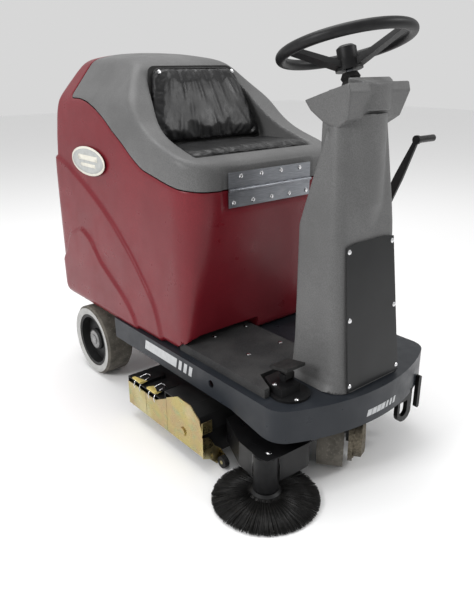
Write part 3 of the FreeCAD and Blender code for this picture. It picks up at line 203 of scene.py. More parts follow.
def painted(name, base, dusty, rough, grain=0.00006, scale=420):
    """Sprayed steel: an even coat with orange peel, rubbed and dusty in places."""
    g = Graph(name, rough, 0.0)
    dust = g.spread(g.noise(7, 6), 0.48, 0.72, 0, 0.55)
    g.colour(g.mix(dust, base, dusty))
    g.rough(g.spread(g.noise(25, 6), 0.3, 0.7, rough - 0.07, rough + 0.12))
    g.bump((g.noise(scale, 3), grain))
    return g.material


def metal(name, base, shade, rough, stretch=None, scale=90, depth=0.00008):
    """Bare or plated metal, with its brushing or casting skin."""
    g = Graph(name, rough, 1.0)
    streak = g.noise(scale, 5, stretch)
    g.colour(g.mix(g.spread(streak, 0.35, 0.68, 0, 1), base, shade))
    g.rough(g.spread(g.noise(30, 4), 0.3, 0.7, rough - 0.08, rough + 0.12))
    g.bump((streak, depth))
    return g.material


def zinc_yellow():
    """Yellow chromate on zinc: straw with pink and green interference clouds."""
    g = Graph("zinc_yellow", 0.34, 1.0)
    rose = g.mix(g.spread(g.noise(14, 3), 0.42, 0.62, 0, 0.7), (0.50, 0.42, 0.17), (0.46, 0.33, 0.19))
    green = g.mix(g.spread(g.noise(19, 3, (1, 1, 1.6)), 0.52, 0.68, 0, 0.7), rose, (0.34, 0.40, 0.21))
    pale = g.mix(g.spread(g.noise(8, 4), 0.52, 0.7, 0, 0.6), green, (0.66, 0.60, 0.36))
    g.colour(pale)
    g.rough(g.spread(g.noise(40, 5), 0.3, 0.7, 0.20, 0.40))
    g.bump((g.noise(260, 3), 0.00005))
    return g.material


def vinyl():
    """Black upholstery vinyl: fine leather grain, shallow creases and polished high spots."""
    g = Graph("black_vinyl", 0.38, 0.0)
    rubbed = g.spread(g.noise(30, 4), 0.4, 0.65, 0, 0.6)
    g.colour(g.mix(rubbed, (0.0035, 0.0035, 0.004), (0.009, 0.009, 0.0095)))
    g.rough(g.spread(g.noise(22, 5), 0.3, 0.7, 0.32, 0.50))
    g.bump((g.cells(520), 0.00018), (g.noise(60, 4, (1, 1, 0.5)), 0.0014), (g.noise(22, 3), 0.0022))
    g.shader.inputs["Coat Weight"].default_value = 0.14
    g.shader.inputs["Coat Roughness"].default_value = 0.3
    return g.material


def tread_rubber():
    """Non-marking grey tyre: scuffed, darker and dusty where it rolls."""
    g = Graph("tyre_grey", 0.75, 0.0)
    grime = g.mix(g.spread(g.noise(28, 6), 0.4, 0.66, 0, 0.9), (0.115, 0.105, 0.088), (0.06, 0.055, 0.046))
    g.colour(g.mix(g.spread(g.noise(120, 3), 0.55, 0.7, 0, 0.5), grime, (0.20, 0.185, 0.16)))
    g.bump((g.noise(300, 4), 0.0003), (g.noise(40, 4), 0.0008))
    return g.material


def plain(name, base, other, rough, scale=60, depth=0.0001, sheen=0.0):
    g = Graph(name, rough, 0.0)
    g.colour(g.mix(g.spread(g.noise(scale, 4), 0.35, 0.65, 0, 1), base, other))
    g.bump((g.noise(scale * 8, 3), depth))
    g.shader.inputs["Sheen Weight"].default_value = sheen
    return g.material


def rough_sheet():
    """The step plate's anti-slip paint: grit in charcoal paint, dusted by shoes."""
    g = Graph("step_grit", 0.8, 0.0)
    dust = g.mix(g.spread(g.noise(9, 6), 0.42, 0.7, 0, 0.8), (0.020, 0.020, 0.021), (0.055, 0.054, 0.053))
    g.colour(g.mix(g.spread(g.noise(700, 2), 0.5, 0.66, 0, 0.7), dust, (0.085, 0.085, 0.085)))
    g.bump((g.noise(620, 3), 0.0006))
    return g.material


MATERIALS = {
    "tank_red": moulded("tank_red", (0.165, 0.010, 0.017), (0.115, 0.007, 0.012), 0.32, 0.00010, 420, 0.12),
    "grey_plastic": moulded("moulded_grey", (0.138, 0.138, 0.138), (0.080, 0.080, 0.080), 0.42, 0.00022, 560),
    "frame_paint": painted("frame_blue_grey", (0.016, 0.019, 0.024), (0.034, 0.037, 0.043), 0.34),
    "black_paint": painted("black_paint", (0.005, 0.005, 0.0055), (0.016, 0.0155, 0.015), 0.33),
    "step_black": rough_sheet(),
    "black_plastic": plain("black_plastic", (0.004, 0.004, 0.0045), (0.008, 0.008, 0.0085), 0.46),
    "panel_black": plain("panel_black", (0.006, 0.0065, 0.007), (0.009, 0.0095, 0.010), 0.30, 12, 0.00003),
    "black_rubber": plain("black_rubber", (0.009, 0.009, 0.009), (0.018, 0.0175, 0.017), 0.7, 50, 0.0003),
    "grey_tyre": tread_rubber(),
    "sidewall": plain("tyre_sidewall", (0.34, 0.34, 0.33), (0.42, 0.42, 0.41), 0.6, 25, 0.0001),
    "wheel_black": painted("wheel_black", (0.012, 0.012, 0.012), (0.03, 0.03, 0.03), 0.5),
    "wheel_grey": metal("wheel_hub_metal", (0.34, 0.34, 0.34), (0.22, 0.22, 0.22), 0.42, None, 60),
    "cast_metal": metal("cast_metal", (0.17, 0.15, 0.115), (0.085, 0.073, 0.055), 0.5, None, 150, 0.0004),
    "zinc_yellow": zinc_yellow(),
    "brushed": metal("brushed_steel", (0.30, 0.31, 0.33), (0.19, 0.20, 0.22), 0.38, (1, 30, 30), 25),
    "bright": metal("bright_steel", (0.78, 0.78, 0.79), (0.62, 0.62, 0.63), 0.18, None, 60, 0.00002),
    "vinyl": vinyl(),
    "bristle": plain("bristle_black", (0.006, 0.0058, 0.0055), (0.014, 0.0135, 0.013), 0.42, 90, 0.00002),
    "broom_tube": plain("tube_grey", (0.08, 0.08, 0.08), (0.11, 0.11, 0.11), 0.5),
    "battery_case": plain("battery_case", (0.02, 0.02, 0.025), (0.035, 0.035, 0.04), 0.45),
    "filter_paper": plain("filter_paper", (0.52, 0.48, 0.38), (0.42, 0.38, 0.30), 0.9),
    "yellow_tip": plain("yellow_tip", (0.62, 0.50, 0.16), (0.52, 0.42, 0.14), 0.4),
    "cream": plain("badge_cream", (0.70, 0.68, 0.60), (0.62, 0.60, 0.53), 0.35),
    "pale_grey": plain("badge_grey", (0.42, 0.43, 0.42), (0.36, 0.37, 0.36), 0.4),
    "stripe": plain("stripe_silver", (0.50, 0.51, 0.52), (0.44, 0.45, 0.46), 0.4),
}
# ---------------------------------------------------------------- moulded shapes from distance fields
# A moulding is drawn as a signed distance in millimetres about the machine's own zero, and its
# surface is meshed where that distance is zero.

def bend_corners(points, reach, closed=True):
    """The polygon with each corner replaced by a short curve that starts `reach` before it."""
    count, out = len(points), []
    for i in range(count):
        here = np.array(points[i], float)
        if not closed and i in (0, count - 1):
            out.append(here)
            continue
        before, after = np.array(points[i - 1], float), np.array(points[(i + 1) % count], float)
        back, on = before - here, after - here
        start = here + back * min(0.45, reach / np.linalg.norm(back))
        end = here + on * min(0.45, reach / np.linalg.norm(on))
        for t in np.linspace(0, 1, 6):
            out.append((1 - t) ** 2 * start + 2 * t * (1 - t) * here + t * t * end)
    return np.array(out)


class Outline:
    """A closed outline's signed distance, sampled once on a fine grid; negative inside."""

    def __init__(self, points, margin=80, step=3.0):
        points = np.array(points, float)
        self.low, self.step = points.min(0) - margin, step
        counts = np.ceil((points.max(0) + margin - self.low) / step).astype(int) + 1
        u = self.low[0] + step * np.arange(counts[0])
        v = self.low[1] + step * np.arange(counts[1])
        where = np.stack(np.meshgrid(u, v, indexing="ij"), -1).reshape(-1, 2)
        best = np.full(len(where), 1e9)
        inside = np.zeros(len(where), bool)
        for a, b in zip(points, np.roll(points, -1, 0)):
            run = b - a
            along = np.clip(((where - a) @ run) / max(run @ run, 1e-9), 0, 1)
            best = np.minimum(best, np.linalg.norm(where - a - along[:, None] * run, axis=1))
            if a[1] != b[1]:
                crosses = (a[1] > where[:, 1]) != (b[1] > where[:, 1])
                inside ^= crosses & (where[:, 0] < a[0] + (where[:, 1] - a[1]) * run[0] / run[1])
        self.grid = np.where(inside, -best, best).reshape(counts)

    def __call__(self, u, v):
        i = np.clip((u - self.low[0]) / self.step, 0, self.grid.shape[0] - 1.001)
        j = np.clip((v - self.low[1]) / self.step, 0, self.grid.shape[1] - 1.001)
        a, b = i.astype(int), j.astype(int)
        s, t = i - a, j - b
        g = self.grid
        return ((1 - s) * (1 - t) * g[a, b] + s * (1 - t) * g[a + 1, b]
                + (1 - s) * t * g[a, b + 1] + s * t * g[a + 1, b + 1])


def both(a, b, soft):
    """Where both fields hold, with the edge between them rounded over about `soft`."""
    mix = np.clip(0.5 - 0.5 * (b - a) / soft, 0, 1)
    return b * (1 - mix) + a * mix + soft * mix * (1 - mix)


def either(a, b, soft):
    """Where one of the fields holds, with a fillet of about `soft` between them."""
    return -both(-a, -b, soft)


def ease(value, low, high):
    """0 below low, 1 above high, smooth between."""
    t = np.clip((value - low) / (high - low), 0, 1)
    return t * t * (3 - 2 * t)


def net(field, low, high, step):
    """Quads on the zero surface of a field inside a box, pulled exactly onto it."""
    axes = [np.arange(low[i], high[i] + step, step) for i in range(3)]
    shape = tuple(len(a) for a in axes)
    grid = np.stack(np.meshgrid(*axes, indexing="ij"), -1)
    values = field(grid.reshape(-1, 3)).reshape(shape)
    solid = values < 0
    corners = [(i, j, k) for i in (0, 1) for j in (0, 1) for k in (0, 1)]
    cells = tuple(n - 1 for n in shape)

    def corner(array, c):
        return array[c[0]:c[0] + cells[0], c[1]:c[1] + cells[1], c[2]:c[2] + cells[2]]

    full = sum(corner(solid, c).astype(int) for c in corners)
    active = (full > 0) & (full < 8)
    index = np.full(cells, -1)
    index[active] = np.arange(active.sum())
    total, weight = np.zeros(cells + (3,)), np.zeros(cells)
    for c in corners:
        for axis in range(3):
            if c[axis]:
                continue
            d = tuple(c[i] + (i == axis) for i in range(3))
            va, vb = corner(values, c), corner(values, d)
            cut = (va < 0) != (vb < 0)
            t = np.where(cut, va / np.where(va == vb, 1, va - vb), 0)
            for i in range(3):
                total[..., i] += np.where(cut, c[i] + (t if i == axis else 0), 0)
            weight += cut
    base = np.stack(np.nonzero(active), -1)
    points = base + total[active] / weight[active][:, None]
    points = np.array([axes[0][0], axes[1][0], axes[2][0]]) + points * step
    quads = []
    for axis in range(3):
        one, two = [i for i in range(3) if i != axis]
        lows = [1, 1, 1]
        lows[axis] = 0
        highs = [shape[i] - 1 for i in range(3)]
        here = solid[lows[0]:highs[0], lows[1]:highs[1], lows[2]:highs[2]]
        shift = [lows[i] + (i == axis) for i in range(3)]
        there = solid[shift[0]:shift[0] + here.shape[0], shift[1]:shift[1] + here.shape[1],
                      shift[2]:shift[2] + here.shape[2]]
        found = np.stack(np.nonzero(here != there), -1)
        at_cell = found + np.array(lows)
        flips = here[tuple(found.T)] ^ (axis == 1)
        ring = []
        for back_one, back_two in ((1, 1), (0, 1), (0, 0), (1, 0)):
            cell = at_cell.copy()
            cell[:, one] -= back_one
            cell[:, two] -= back_two
            ring.append(index[tuple(cell.T)])
        ring = np.stack(ring, -1)
        ring[~flips] = ring[~flips][:, ::-1]
        quads.append(ring)
    quads = np.concatenate(quads)
    quads = quads[(quads >= 0).all(1)]
    for _ in range(3):
        points = onto(field, points, step * 0.5)
    return points, quads


def slope_of(field, points, span=0.8):
    """The field's gradient at each point."""
    out = np.zeros_like(points)
    for axis in range(3):
        move = np.zeros(3)
        move[axis] = span
        out[:, axis] = (field(points + move) - field(points - move)) / (2 * span)
    return out


def onto(field, points, most):
    """Points moved along the gradient onto the zero surface, by no more than `most`."""
    gradient = slope_of(field, points)
    square = np.maximum((gradient ** 2).sum(1), 0.05)
    move = np.clip(field(points) / square, -most, most)
    return points - gradient * move[:, None]
def skin(name, points, faces, material, body, smooth=38.0):
    """A mesh object from points in millimetres about the machine's own zero."""
    mesh = bpy.data.meshes.new(name)
    shift = np.array(SHIFT)
    mesh.from_pydata((np.asarray(points, float) / 1000.0 + shift).tolist(), [],
                     [tuple(int(i) for i in face) for face in faces])
    mesh.validate()
    obj = bpy.data.objects.new(name, mesh)
    bpy.context.collection.objects.link(obj)
    mesh.shade_smooth()
    if smooth:
        mesh.set_sharp_from_angle(angle=math.radians(smooth))
    if material is not None:
        mesh.materials.append(material)
    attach(obj, body)
    return obj


def slab(name, corners, depth, material, body):
    """A thin plate over a flat outline, raised along its own normal."""
    corners = np.array(corners, float)
    out = np.cross(corners[1] - corners[0], corners[2] - corners[1])
    out *= depth / np.linalg.norm(out)
    count = len(corners)
    faces = [tuple(range(count - 1, -1, -1)), tuple(range(count, 2 * count))]
    faces += [(i, (i + 1) % count, count + (i + 1) % count, count + i) for i in range(count)]
    return skin(name, np.vstack([corners - out * 0.2, corners + out]), faces, material, body, 30)


def keep_below(points, faces, level):
    """The part of a mesh where level < 0, its faces cut along level = 0."""
    points = [tuple(p) for p in points]
    level = list(level)
    made, out = {}, []

    def crossing(a, b):
        key = (min(a, b), max(a, b))
        if key not in made:
            t = level[a] / (level[a] - level[b])
            pa, pb = points[a], points[b]
            made[key] = len(points)
            points.append(tuple(pa[i] + (pb[i] - pa[i]) * t for i in range(3)))
            level.append(0.0)
        return made[key]

    for face in faces:
        under = [level[i] < 0 for i in face]
        if all(under):
            out.append(tuple(face))
        elif any(under):
            ring = []
            for i, a in enumerate(face):
                b = face[(i + 1) % len(face)]
                if level[a] < 0:
                    ring.append(a)
                if (level[a] < 0) != (level[b] < 0):
                    ring.append(crossing(a, b))
            if len(set(ring)) > 2:
                out.append(tuple(ring))
    used = sorted({i for face in out for i in face})
    place = {old: new for new, old in enumerate(used)}
    return np.array([points[i] for i in used]), [tuple(place[i] for i in face) for face in out]


# ---------------------------------------------------------------- tank and seat cover

BODY_SIDE = Outline(bend_corners(
    [(-100, 289), (-160, 700), (-167, 740), (-167, 868), (-140, 888), (-96, 899), (-24, 919), (26, 934),
     (77, 955), (130, 989), (184, 1044), (240, 1098), (285, 1150), (345, 1176), (440, 1191), (560, 1196),
     (640, 1186), (676, 1150), (690, 1090), (697, 1040), (712, 886), (737, 770), (750, 650), (755, 400),
     (745, 318), (718, 289)], 34))
flank = [(320, 289), (320, 900), (304, 1000), (290, 1041), (185, 1168), (90, 1191), (0, 1198)]
BODY_FRONT = Outline(bend_corners(flank + [(-x, z) for x, z in reversed(flank[:-1])], 26))
SEAM = Outline(bend_corners(
    [(-400, 797), (-165, 805), (-90, 813), (-30, 822), (40, 836), (101, 848), (157, 878), (214, 916),
     (274, 948), (335, 985), (400, 1014), (470, 1034), (530, 1042), (598, 1042), (598, 1400),
     (-400, 1400)], 18),
    margin=120)
FENDER = Outline(bend_corners(
    [(619, 806), (574, 785), (475, 742), (375, 688), (300, 638), (219, 574), (170, 530), (132, 490),
     (95, 450), (66, 413), (40, 350), (20, 240), (900, 240), (900, 850), (700, 830)], 30))
ARCH = Outline(bend_corners(
    [(760, 400), (687, 463), (667, 508), (650, 532), (622, 550), (547, 580), (510, 570), (472, 549),
     (407, 480), (339, 440), (273, 401), (230, 370), (190, 330), (160, 240), (760, 240)], 16))
STEP_ROOM = Outline([(-302, 240), (-302, 321), (-284, 334), (-258, 341), (-200, 344), (-13, 344), (-13, 240)])
BACK_TOP, BACK_FOOT, SEAT_FLOOR = 1148.0, 165.0, 886.0
RECESS_FRONT = Outline(bend_corners(
    [(-244, SEAT_FLOOR - 4), (-241, 940), (-164, BACK_TOP), (164, BACK_TOP), (241, 940),
     (244, SEAT_FLOOR - 4)], 26))
RECESS_SIDE = Outline(bend_corners(
    [(-93, SEAT_FLOOR), (BACK_FOOT, SEAT_FLOOR), (BACK_FOOT + 92, BACK_TOP + 6), (BACK_FOOT + 92, 1300),
     (-93, 1300)], 16))


def body_field(p):
    """The whole moulded body: side view, front view and plan, with the fender flares on its flanks."""
    x, y, z = np.abs(p[:, 0]), p[:, 1], p[:, 2]
    on_flank = ease(x, 250, 300)
    flare = 7 * ease(-FENDER(y, z), -3, 7) + 7 * ease(-ARCH(y, z), -3, 6)
    side, front = BODY_SIDE(y, z), BODY_FRONT(p[:, 0], z)
    corner = 60 + 60 * (1 - ease(y, 100, 500))
    out_x, out_y = x - 316 + corner, np.maximum(-170 + corner - y, y - 760 + corner)
    plan = (np.hypot(np.maximum(out_x, 0), np.maximum(out_y, 0)) + np.minimum(np.maximum(out_x, out_y), 0)
            - corner)
    whole = both(both(side, front, 20), plan, 26)
    ledge = np.minimum(185 - np.abs(p[:, 0] + 15), 63 - np.abs(z - 805))
    return whole - flare * on_flank + 3.5 * ease(ledge, -4, 4) * (y < -140)


def groove(level, half, deep):
    """How far a surface drops beside a seam where level is 0."""
    return deep * np.clip(1 - np.abs(level) / half, 0, 1) ** 2


def tank_field(p):
    """The body with the seam's groove and the room over the step plate's rear edge."""
    relief = both(STEP_ROOM(p[:, 0], p[:, 2]), np.maximum(p[:, 1] + 51, -260 - p[:, 1]), 2)
    return both(body_field(p) + groove(SEAM(p[:, 1], p[:, 2]), 7, 2.2), -relief, 3)


def cover_field(p):
    recess = both(RECESS_FRONT(p[:, 0], p[:, 2]), RECESS_SIDE(p[:, 1], p[:, 2]), 6)
    return both(body_field(p), -recess, 9) + groove(SEAM(p[:, 1], p[:, 2]), 7, 2.2)


def walled(obj, thick):
    """Gives a skin its wall, inward."""
    wall = obj.modifiers.new("wall", "SOLIDIFY")
    wall.thickness, wall.offset, wall.use_even_offset = thick / 1000.0, -1, False
    return obj


def body_shells():
    box_low, box_high = (-332, -180, 280), (332, 766, 1206)
    points, quads = net(tank_field, box_low, box_high, 7.5)
    points, faces = keep_below(points, quads, 1.3 - SEAM(points[:, 1], points[:, 2]))
    points = onto(tank_field, points, 3)
    tank = walled(skin("tank_body", points, faces, None, "chassis"), 5)
    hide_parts("tank_shell")
    points, quads = net(cover_field, (-332, -180, 780), (332, 620, 1206), 6.5)
    points, faces = keep_below(points, quads, SEAM(points[:, 1], points[:, 2]) + 1.3)
    points = onto(cover_field, points, 3)
    cover = walled(skin("seat_lid_moulding", points, faces, None, "seat_lid"), 5)
    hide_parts("seat_cover")
    return tank, cover
# ---------------------------------------------------------------- steering column and console

CONSOLE_SIDE = Outline([(-545, 1108), (-396, 1063), (-412, 1038), (-455, 1008), (-500, 998), (-536, 1022),
                        (-552, 1085)], margin=60, step=2.0)
CONSOLE_FRONT = Outline([(-119, 1140), (-119, 1084), (-96, 985), (96, 985), (119, 1084), (119, 1140)],
                        margin=60, step=2.0)


def through(z, *levels):
    """A size that varies with height, given as (height, size) pairs."""
    return np.interp(z, [a for a, _ in levels], [b for _, b in levels])


def column_field(p):
    """The column: flared foot, straight lower part, leaning upper part and the half-round bulge."""
    x, y, z = p[:, 0], p[:, 1], p[:, 2]
    half = through(z, (289, 152), (310, 140), (335, 133), (400, 127), (742, 122), (1010, 100), (1100, 93))
    front = through(z, (289, -597), (310, -590), (335, -585), (400, -576), (742, -543), (1010, -512),
                    (1100, -502))
    rear = through(z, (289, -394), (300, -396), (742, -396), (1010, -468), (1100, -492))
    front = front - 5 * (1 - np.clip(x / half, -1, 1) ** 2) * ease(z, 745, 800) + 0.6
    corner = np.where(y < -470, through(z, (289, 58), (400, 46), (742, 32), (1010, 26)), 9.0)
    out_x = np.abs(x) - half + corner
    out_y = np.maximum(front + corner - y, y - rear + corner)
    shell = (np.hypot(np.maximum(out_x, 0), np.maximum(out_y, 0)) + np.minimum(np.maximum(out_x, out_y), 0)
             - corner)
    radius = through(z, (690, 50), (742, 82), (800, 97), (1020, 93), (1120, 91))
    centre = through(z, (690, -484), (742, -459), (800, -457), (1020, -459), (1110, -468))
    bulge = np.hypot(x, y - centre) - radius
    bulge = both(bulge, y + 440, 4)
    shell = either(shell, bulge, 7)
    return both(both(shell, 289 - z, 2), z - 1032, 2)


def console_field(p):
    """The console head: a wedge between its side and front views, with the bulge rising through it."""
    x, y, z = p[:, 0], p[:, 1], p[:, 2]
    wedge = both(CONSOLE_SIDE(y, z), CONSOLE_FRONT(x, z), 5)
    between = np.maximum(1040 - z, z - 1108 - (y + 545) * 0.3)
    bump = both(both(np.hypot(x, y + 468) - 91, y + 500, 3), between, 3)
    return either(wedge, bump, 3)


def column_and_console():
    points, quads = net(column_field, (-165, -612, 281), (165, -384, 1066), 6.0)
    foot = np.array([all(points[i][2] < 289.6 for i in face) for face in quads])
    column = walled(skin("column_moulding", points, quads[~foot], None, "chassis"), 4)
    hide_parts("column_shell")
    points, quads = net(console_field, (-130, -575, 985), (130, -380, 1125), 3.5)
    fascia = fascia_level(points) > -2.2
    opening = np.array([all(abs(points[i][0]) < 100 and fascia[i] and -512 < points[i][1] < -404
                            for i in face) for face in quads])
    console = walled(skin("console_moulding", points, quads[~opening], None, "chassis", 32), 3.5)
    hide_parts("console_housing")
    return column, console


TILT = math.radians(16)


def fascia_level(points):
    """How far points stand above the console's sloping face."""
    return (points[:, 1] + 460) * math.sin(TILT) + (points[:, 2] - 1073) * math.cos(TILT)
tank, cover = body_shells()
tank.data.materials.append(MATERIALS["tank_red"])
cover.data.materials.append(MATERIALS["grey_plastic"])
for moulding in column_and_console():
    moulding.data.materials.append(MATERIALS["grey_plastic"])
# ---------------------------------------------------------------- cushions

def swollen(points, quads, held, pressure, spare, cap):
    """The closed form after its cover fills: pressed out from inside, held at its tufts and edge.

    spare is how much larger the cover is cut than the form, and cap how far a point may move (mm).
    """
    mesh = bpy.data.meshes.new("cover_start")
    mesh.from_pydata((points / 1000.0).tolist(), [], [tuple(int(i) for i in face) for face in quads])
    cover = bpy.data.objects.new("cover_start", mesh)
    bpy.context.collection.objects.link(cover)
    cover.vertex_groups.new(name="held").add([int(i) for i in np.nonzero(held)[0]], 1.0, "REPLACE")
    cloth = cover.modifiers.new("cloth", "CLOTH")
    settings = cloth.settings
    settings.use_pressure, settings.uniform_pressure_force = True, pressure
    settings.effector_weights.gravity = 0
    settings.vertex_group_mass = "held"
    settings.shrink_min = -spare
    settings.bending_stiffness = 0.4
    for frame_number in range(1, 21):
        bpy.context.scene.frame_set(frame_number)
    view = cover.evaluated_get(bpy.context.evaluated_depsgraph_get())
    filled = np.array([tuple(vertex.co) for vertex in view.data.vertices]) * 1000.0
    bpy.context.scene.frame_set(1)
    bpy.data.objects.remove(cover)
    moved = filled - points
    length = np.linalg.norm(moved, axis=1)[:, None]
    return points + moved * np.minimum(1, cap / np.maximum(length, 1e-6))


def near(points, spots, reach):
    """Which points lie within reach of one of the spots."""
    hit = np.zeros(len(points), bool)
    for spot in spots:
        hit |= np.linalg.norm(points - np.array(spot, float), axis=1) < reach
    return hit


def cushion_field(p):
    x, y, z = np.abs(p[:, 0]), p[:, 1], p[:, 2]
    half = np.interp(y, (-88, 148), (238, 232))
    corner = 26.0
    out_x, out_y = x - half + corner, np.maximum(-84 + corner - y, y - 144 + corner)
    plan = (np.hypot(np.maximum(out_x, 0), np.maximum(out_y, 0)) + np.minimum(np.maximum(out_x, out_y), 0)
            - corner)
    crown = 903 + 5 * (1 - (x / 240) ** 2) * (1 - ((y - 30) / 125) ** 2)
    return both(plan, np.maximum(890.5 - z, z - crown), 11)


BACK_LEAN, WELT = 0.362, 2.6
# creases drawn by the tight cover: where each lies across, its middle's height, its slant and its depth
CREASES = [(-118, 1098, 0.25, 2.2), (-70, 1082, 0.10, 2.6), (-34, 1092, 0.05, 1.8), (-8, 1074, -0.10, 2.8),
           (36, 1096, -0.12, 2.0), (74, 1086, -0.25, 2.4), (120, 1090, -0.40, 1.8), (-182, 960, 0.60, 1.8),
           (-120, 950, 0.30, 2.2), (-48, 945, 0.10, 2.0), (26, 952, -0.15, 2.4), (92, 946, -0.30, 2.0),
           (160, 952, -0.50, 2.2), (-60, 1010, 0.15, 1.6), (48, 1018, -0.20, 1.6)]


def back_line(z):
    """Where the cover's slope stands behind the back pad."""
    return 163 + BACK_LEAN * (z - 888)


def back_pad_field(p):
    x, y, z = np.abs(p[:, 0]), p[:, 1], p[:, 2]
    half = np.interp(z, (912, 1141), (233, 162))
    depth = 24 + 5 * (1 - (x / 240) ** 2) * (1 - ((z - 1020) / 125) ** 2)
    for place, foot, lean, tall in CREASES:
        depth = depth + tall * np.exp(-((p[:, 0] - place - lean * (z - foot)) / 7) ** 2
                                      - ((z - foot) / 42) ** 2)
    slab = np.maximum(y - back_line(z), back_line(z) - depth - y) / math.hypot(1, BACK_LEAN)
    outline = both(x - half, np.maximum(916 - z, z - 1136), 30)
    return both(outline, slab, 12)


def tube(name, path, radius, material, body, closed=False, sides=8):
    """A round bar along a path of points in millimetres."""
    path = np.array(path, float)
    ahead = np.roll(path, -1, 0) - np.roll(path, 1, 0)
    if not closed:
        ahead[0], ahead[-1] = path[1] - path[0], path[-1] - path[-2]
    ahead /= np.linalg.norm(ahead, axis=1)[:, None]
    side = np.cross(ahead[0], (0.123, 0.456, 0.882))
    rings = []
    for direction, place in zip(ahead, path):
        side = side - direction * (side @ direction)
        side /= np.linalg.norm(side)
        other = np.cross(direction, side)
        rings += [place + radius * (math.cos(a) * side + math.sin(a) * other)
                  for a in np.linspace(0, 2 * math.pi, sides, endpoint=False)]
    count = len(path)
    faces = [(i * sides + k, i * sides + (k + 1) % sides, (i + 1) % count * sides + (k + 1) % sides,
              (i + 1) % count * sides + k)
             for i in range(count if closed else count - 1) for k in range(sides)]
    if not closed:
        faces += [tuple(range(sides - 1, -1, -1)), tuple(range((count - 1) * sides, count * sides))]
    return skin(name, rings, faces, material, body, 50)


def seat_pads():
    """Seat cushion and back pad, each a filled vinyl cover with its welt."""
    points, quads = net(cushion_field, (-246, -96, 884), (246, 156, 914), 6.0)
    pleats = [(x, -80, 899) for x in (-188, -121, -38, 52, 104, 183)]
    pleats += [(x, 140, 899) for x in (-150, -60, 70, 165)]
    held = near(points, pleats, 7) | (points[:, 2] < 893)
    points = swollen(points, quads, held, 4.0, 0.03, 8.0)
    seat = skin("cushion_cover", points, quads, MATERIALS["vinyl"], "seat_lid", None)
    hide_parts("seat_cushion")
    points, quads = net(back_pad_field, (-246, 130, 906), (246, 270, 1146), 6.0)
    pleats = [(x, 1130) for x in (-128, -96, -52, -18, 31, 66, 118)]
    pleats += [(x, 921) for x in (-196, -131, -60, 22, 84, 140, 203)]
    pleats += [(-213, 968), (-190, 1030), (212, 975), (184, 1046), (-168, 1092), (166, 1100)]
    pleats = [(x, back_line(z) - 16, z) for x, z in pleats]
    held = near(points, pleats, 9) | (points[:, 1] > back_line(points[:, 2]) - 4)
    points = swollen(points, quads, held, 4.0, 0.035, 10.0)
    back = skin("back_pad_cover", points, quads, MATERIALS["vinyl"], "seat_lid", None)
    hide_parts("seat_backrest")
    board = bend_corners([(-240, 900), (240, 900), (171, 1146), (-171, 1146)], 24)
    slab("back_pad_board", [(x, back_line(z) + 1.5, z) for x, z in board], 3.0,
         MATERIALS["black_rubber"], "seat_lid")
    for pad in (seat, back):
        finer = pad.modifiers.new("finer", "SUBSURF")
        finer.levels = finer.render_levels = 1
    seam = bend_corners([(-235, -86), (235, -86), (230, 146), (-230, 146)], 30)
    seat_seam = [(x, y, 895.5) for x, y in seam]
    seam = bend_corners([(-231, 918), (231, 918), (157, 1138), (-157, 1138)], 26)
    back_seam = [(x, back_line(z) - 7, z) for x, z in seam]
    for name, path in (("cushion_welt", seat_seam), ("back_pad_welt", back_seam)):
        tube(name, path, WELT, MATERIALS["vinyl"], "seat_lid", True)


seat_pads()
# ---------------------------------------------------------------- bristles

def strands(name, roots, tips, sag, thick, body):
    """Separate bristles from roots to tips, each a thin tapering bar that bends by sag in its middle."""
    roots, tips = np.array(roots, float), np.array(tips, float)
    run = tips - roots
    length = np.linalg.norm(run, axis=1)[:, None]
    side = np.cross(run / length, (0.05, 0.03, 1.0))
    side /= np.linalg.norm(side, axis=1)[:, None]
    other = np.cross(run / length, side)
    points = []
    for t, slim in ((0.0, 1.0), (0.5, 0.9), (1.0, 0.55)):
        centre = roots + run * t + np.array(sag, float) * (4 * t * (1 - t))
        for angle in (90, 210, 330):
            a = math.radians(angle)
            points.append(centre + thick * slim * (math.cos(a) * side + math.sin(a) * other))
    points = np.stack(points, 1)
    faces = []
    for base in range(0, len(roots) * 9, 9):
        for ring in (0, 3):
            faces += [(base + ring + k, base + ring + (k + 1) % 3, base + ring + 3 + (k + 1) % 3,
                       base + ring + 3 + k) for k in range(3)]
        faces += [(base + 2, base + 1, base), (base + 6, base + 7, base + 8)]
    return skin(name, points.reshape(-1, 3), faces, MATERIALS["bristle"], body, None)


# axes of the side brush, in plan, and of the main broom, in side view
BRUSH, BROOM = (-333, -508), (-195, 91)


def side_brush():
    """Tufts of long bristles raking outward and down from the hub, uneven at their ends."""
    rng = np.random.default_rng(11)
    tufts, per_tuft = 64, 17
    roots, tips = [], []
    for layer, (start, height, end_height) in enumerate(((44, 27, 10), (40, 24, 5))):
        for i in range(tufts):
            angle = 2 * math.pi * (i + 0.5 * layer) / tufts
            for _ in range(per_tuft):
                a = angle + rng.normal(0, 0.013)
                b = angle + rng.normal(0, 0.030) + 0.05
                reach = 155 - abs(rng.normal(0, 3.5))
                low = end_height - 3 + 6 * rng.random()
                roots.append((BRUSH[0] + start * math.cos(a), BRUSH[1] + start * math.sin(a),
                              height + rng.normal(0, 1.3)))
                tips.append((BRUSH[0] + reach * math.cos(b), BRUSH[1] + reach * math.sin(b), max(3.0, low)))
    brush = strands("side_brush_strands", roots, tips, (0, 0, 3.5), 1.25, "side_brush")
    points, faces = ring_mesh([(30, 30), (42, 31), (52, 28), (52, 20), (42, 17), (30, 20)], 72)
    skin("side_brush_root", points + np.array([*BRUSH, 0]), faces, MATERIALS["bristle"], "side_brush")
    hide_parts("side_brush_bristles")


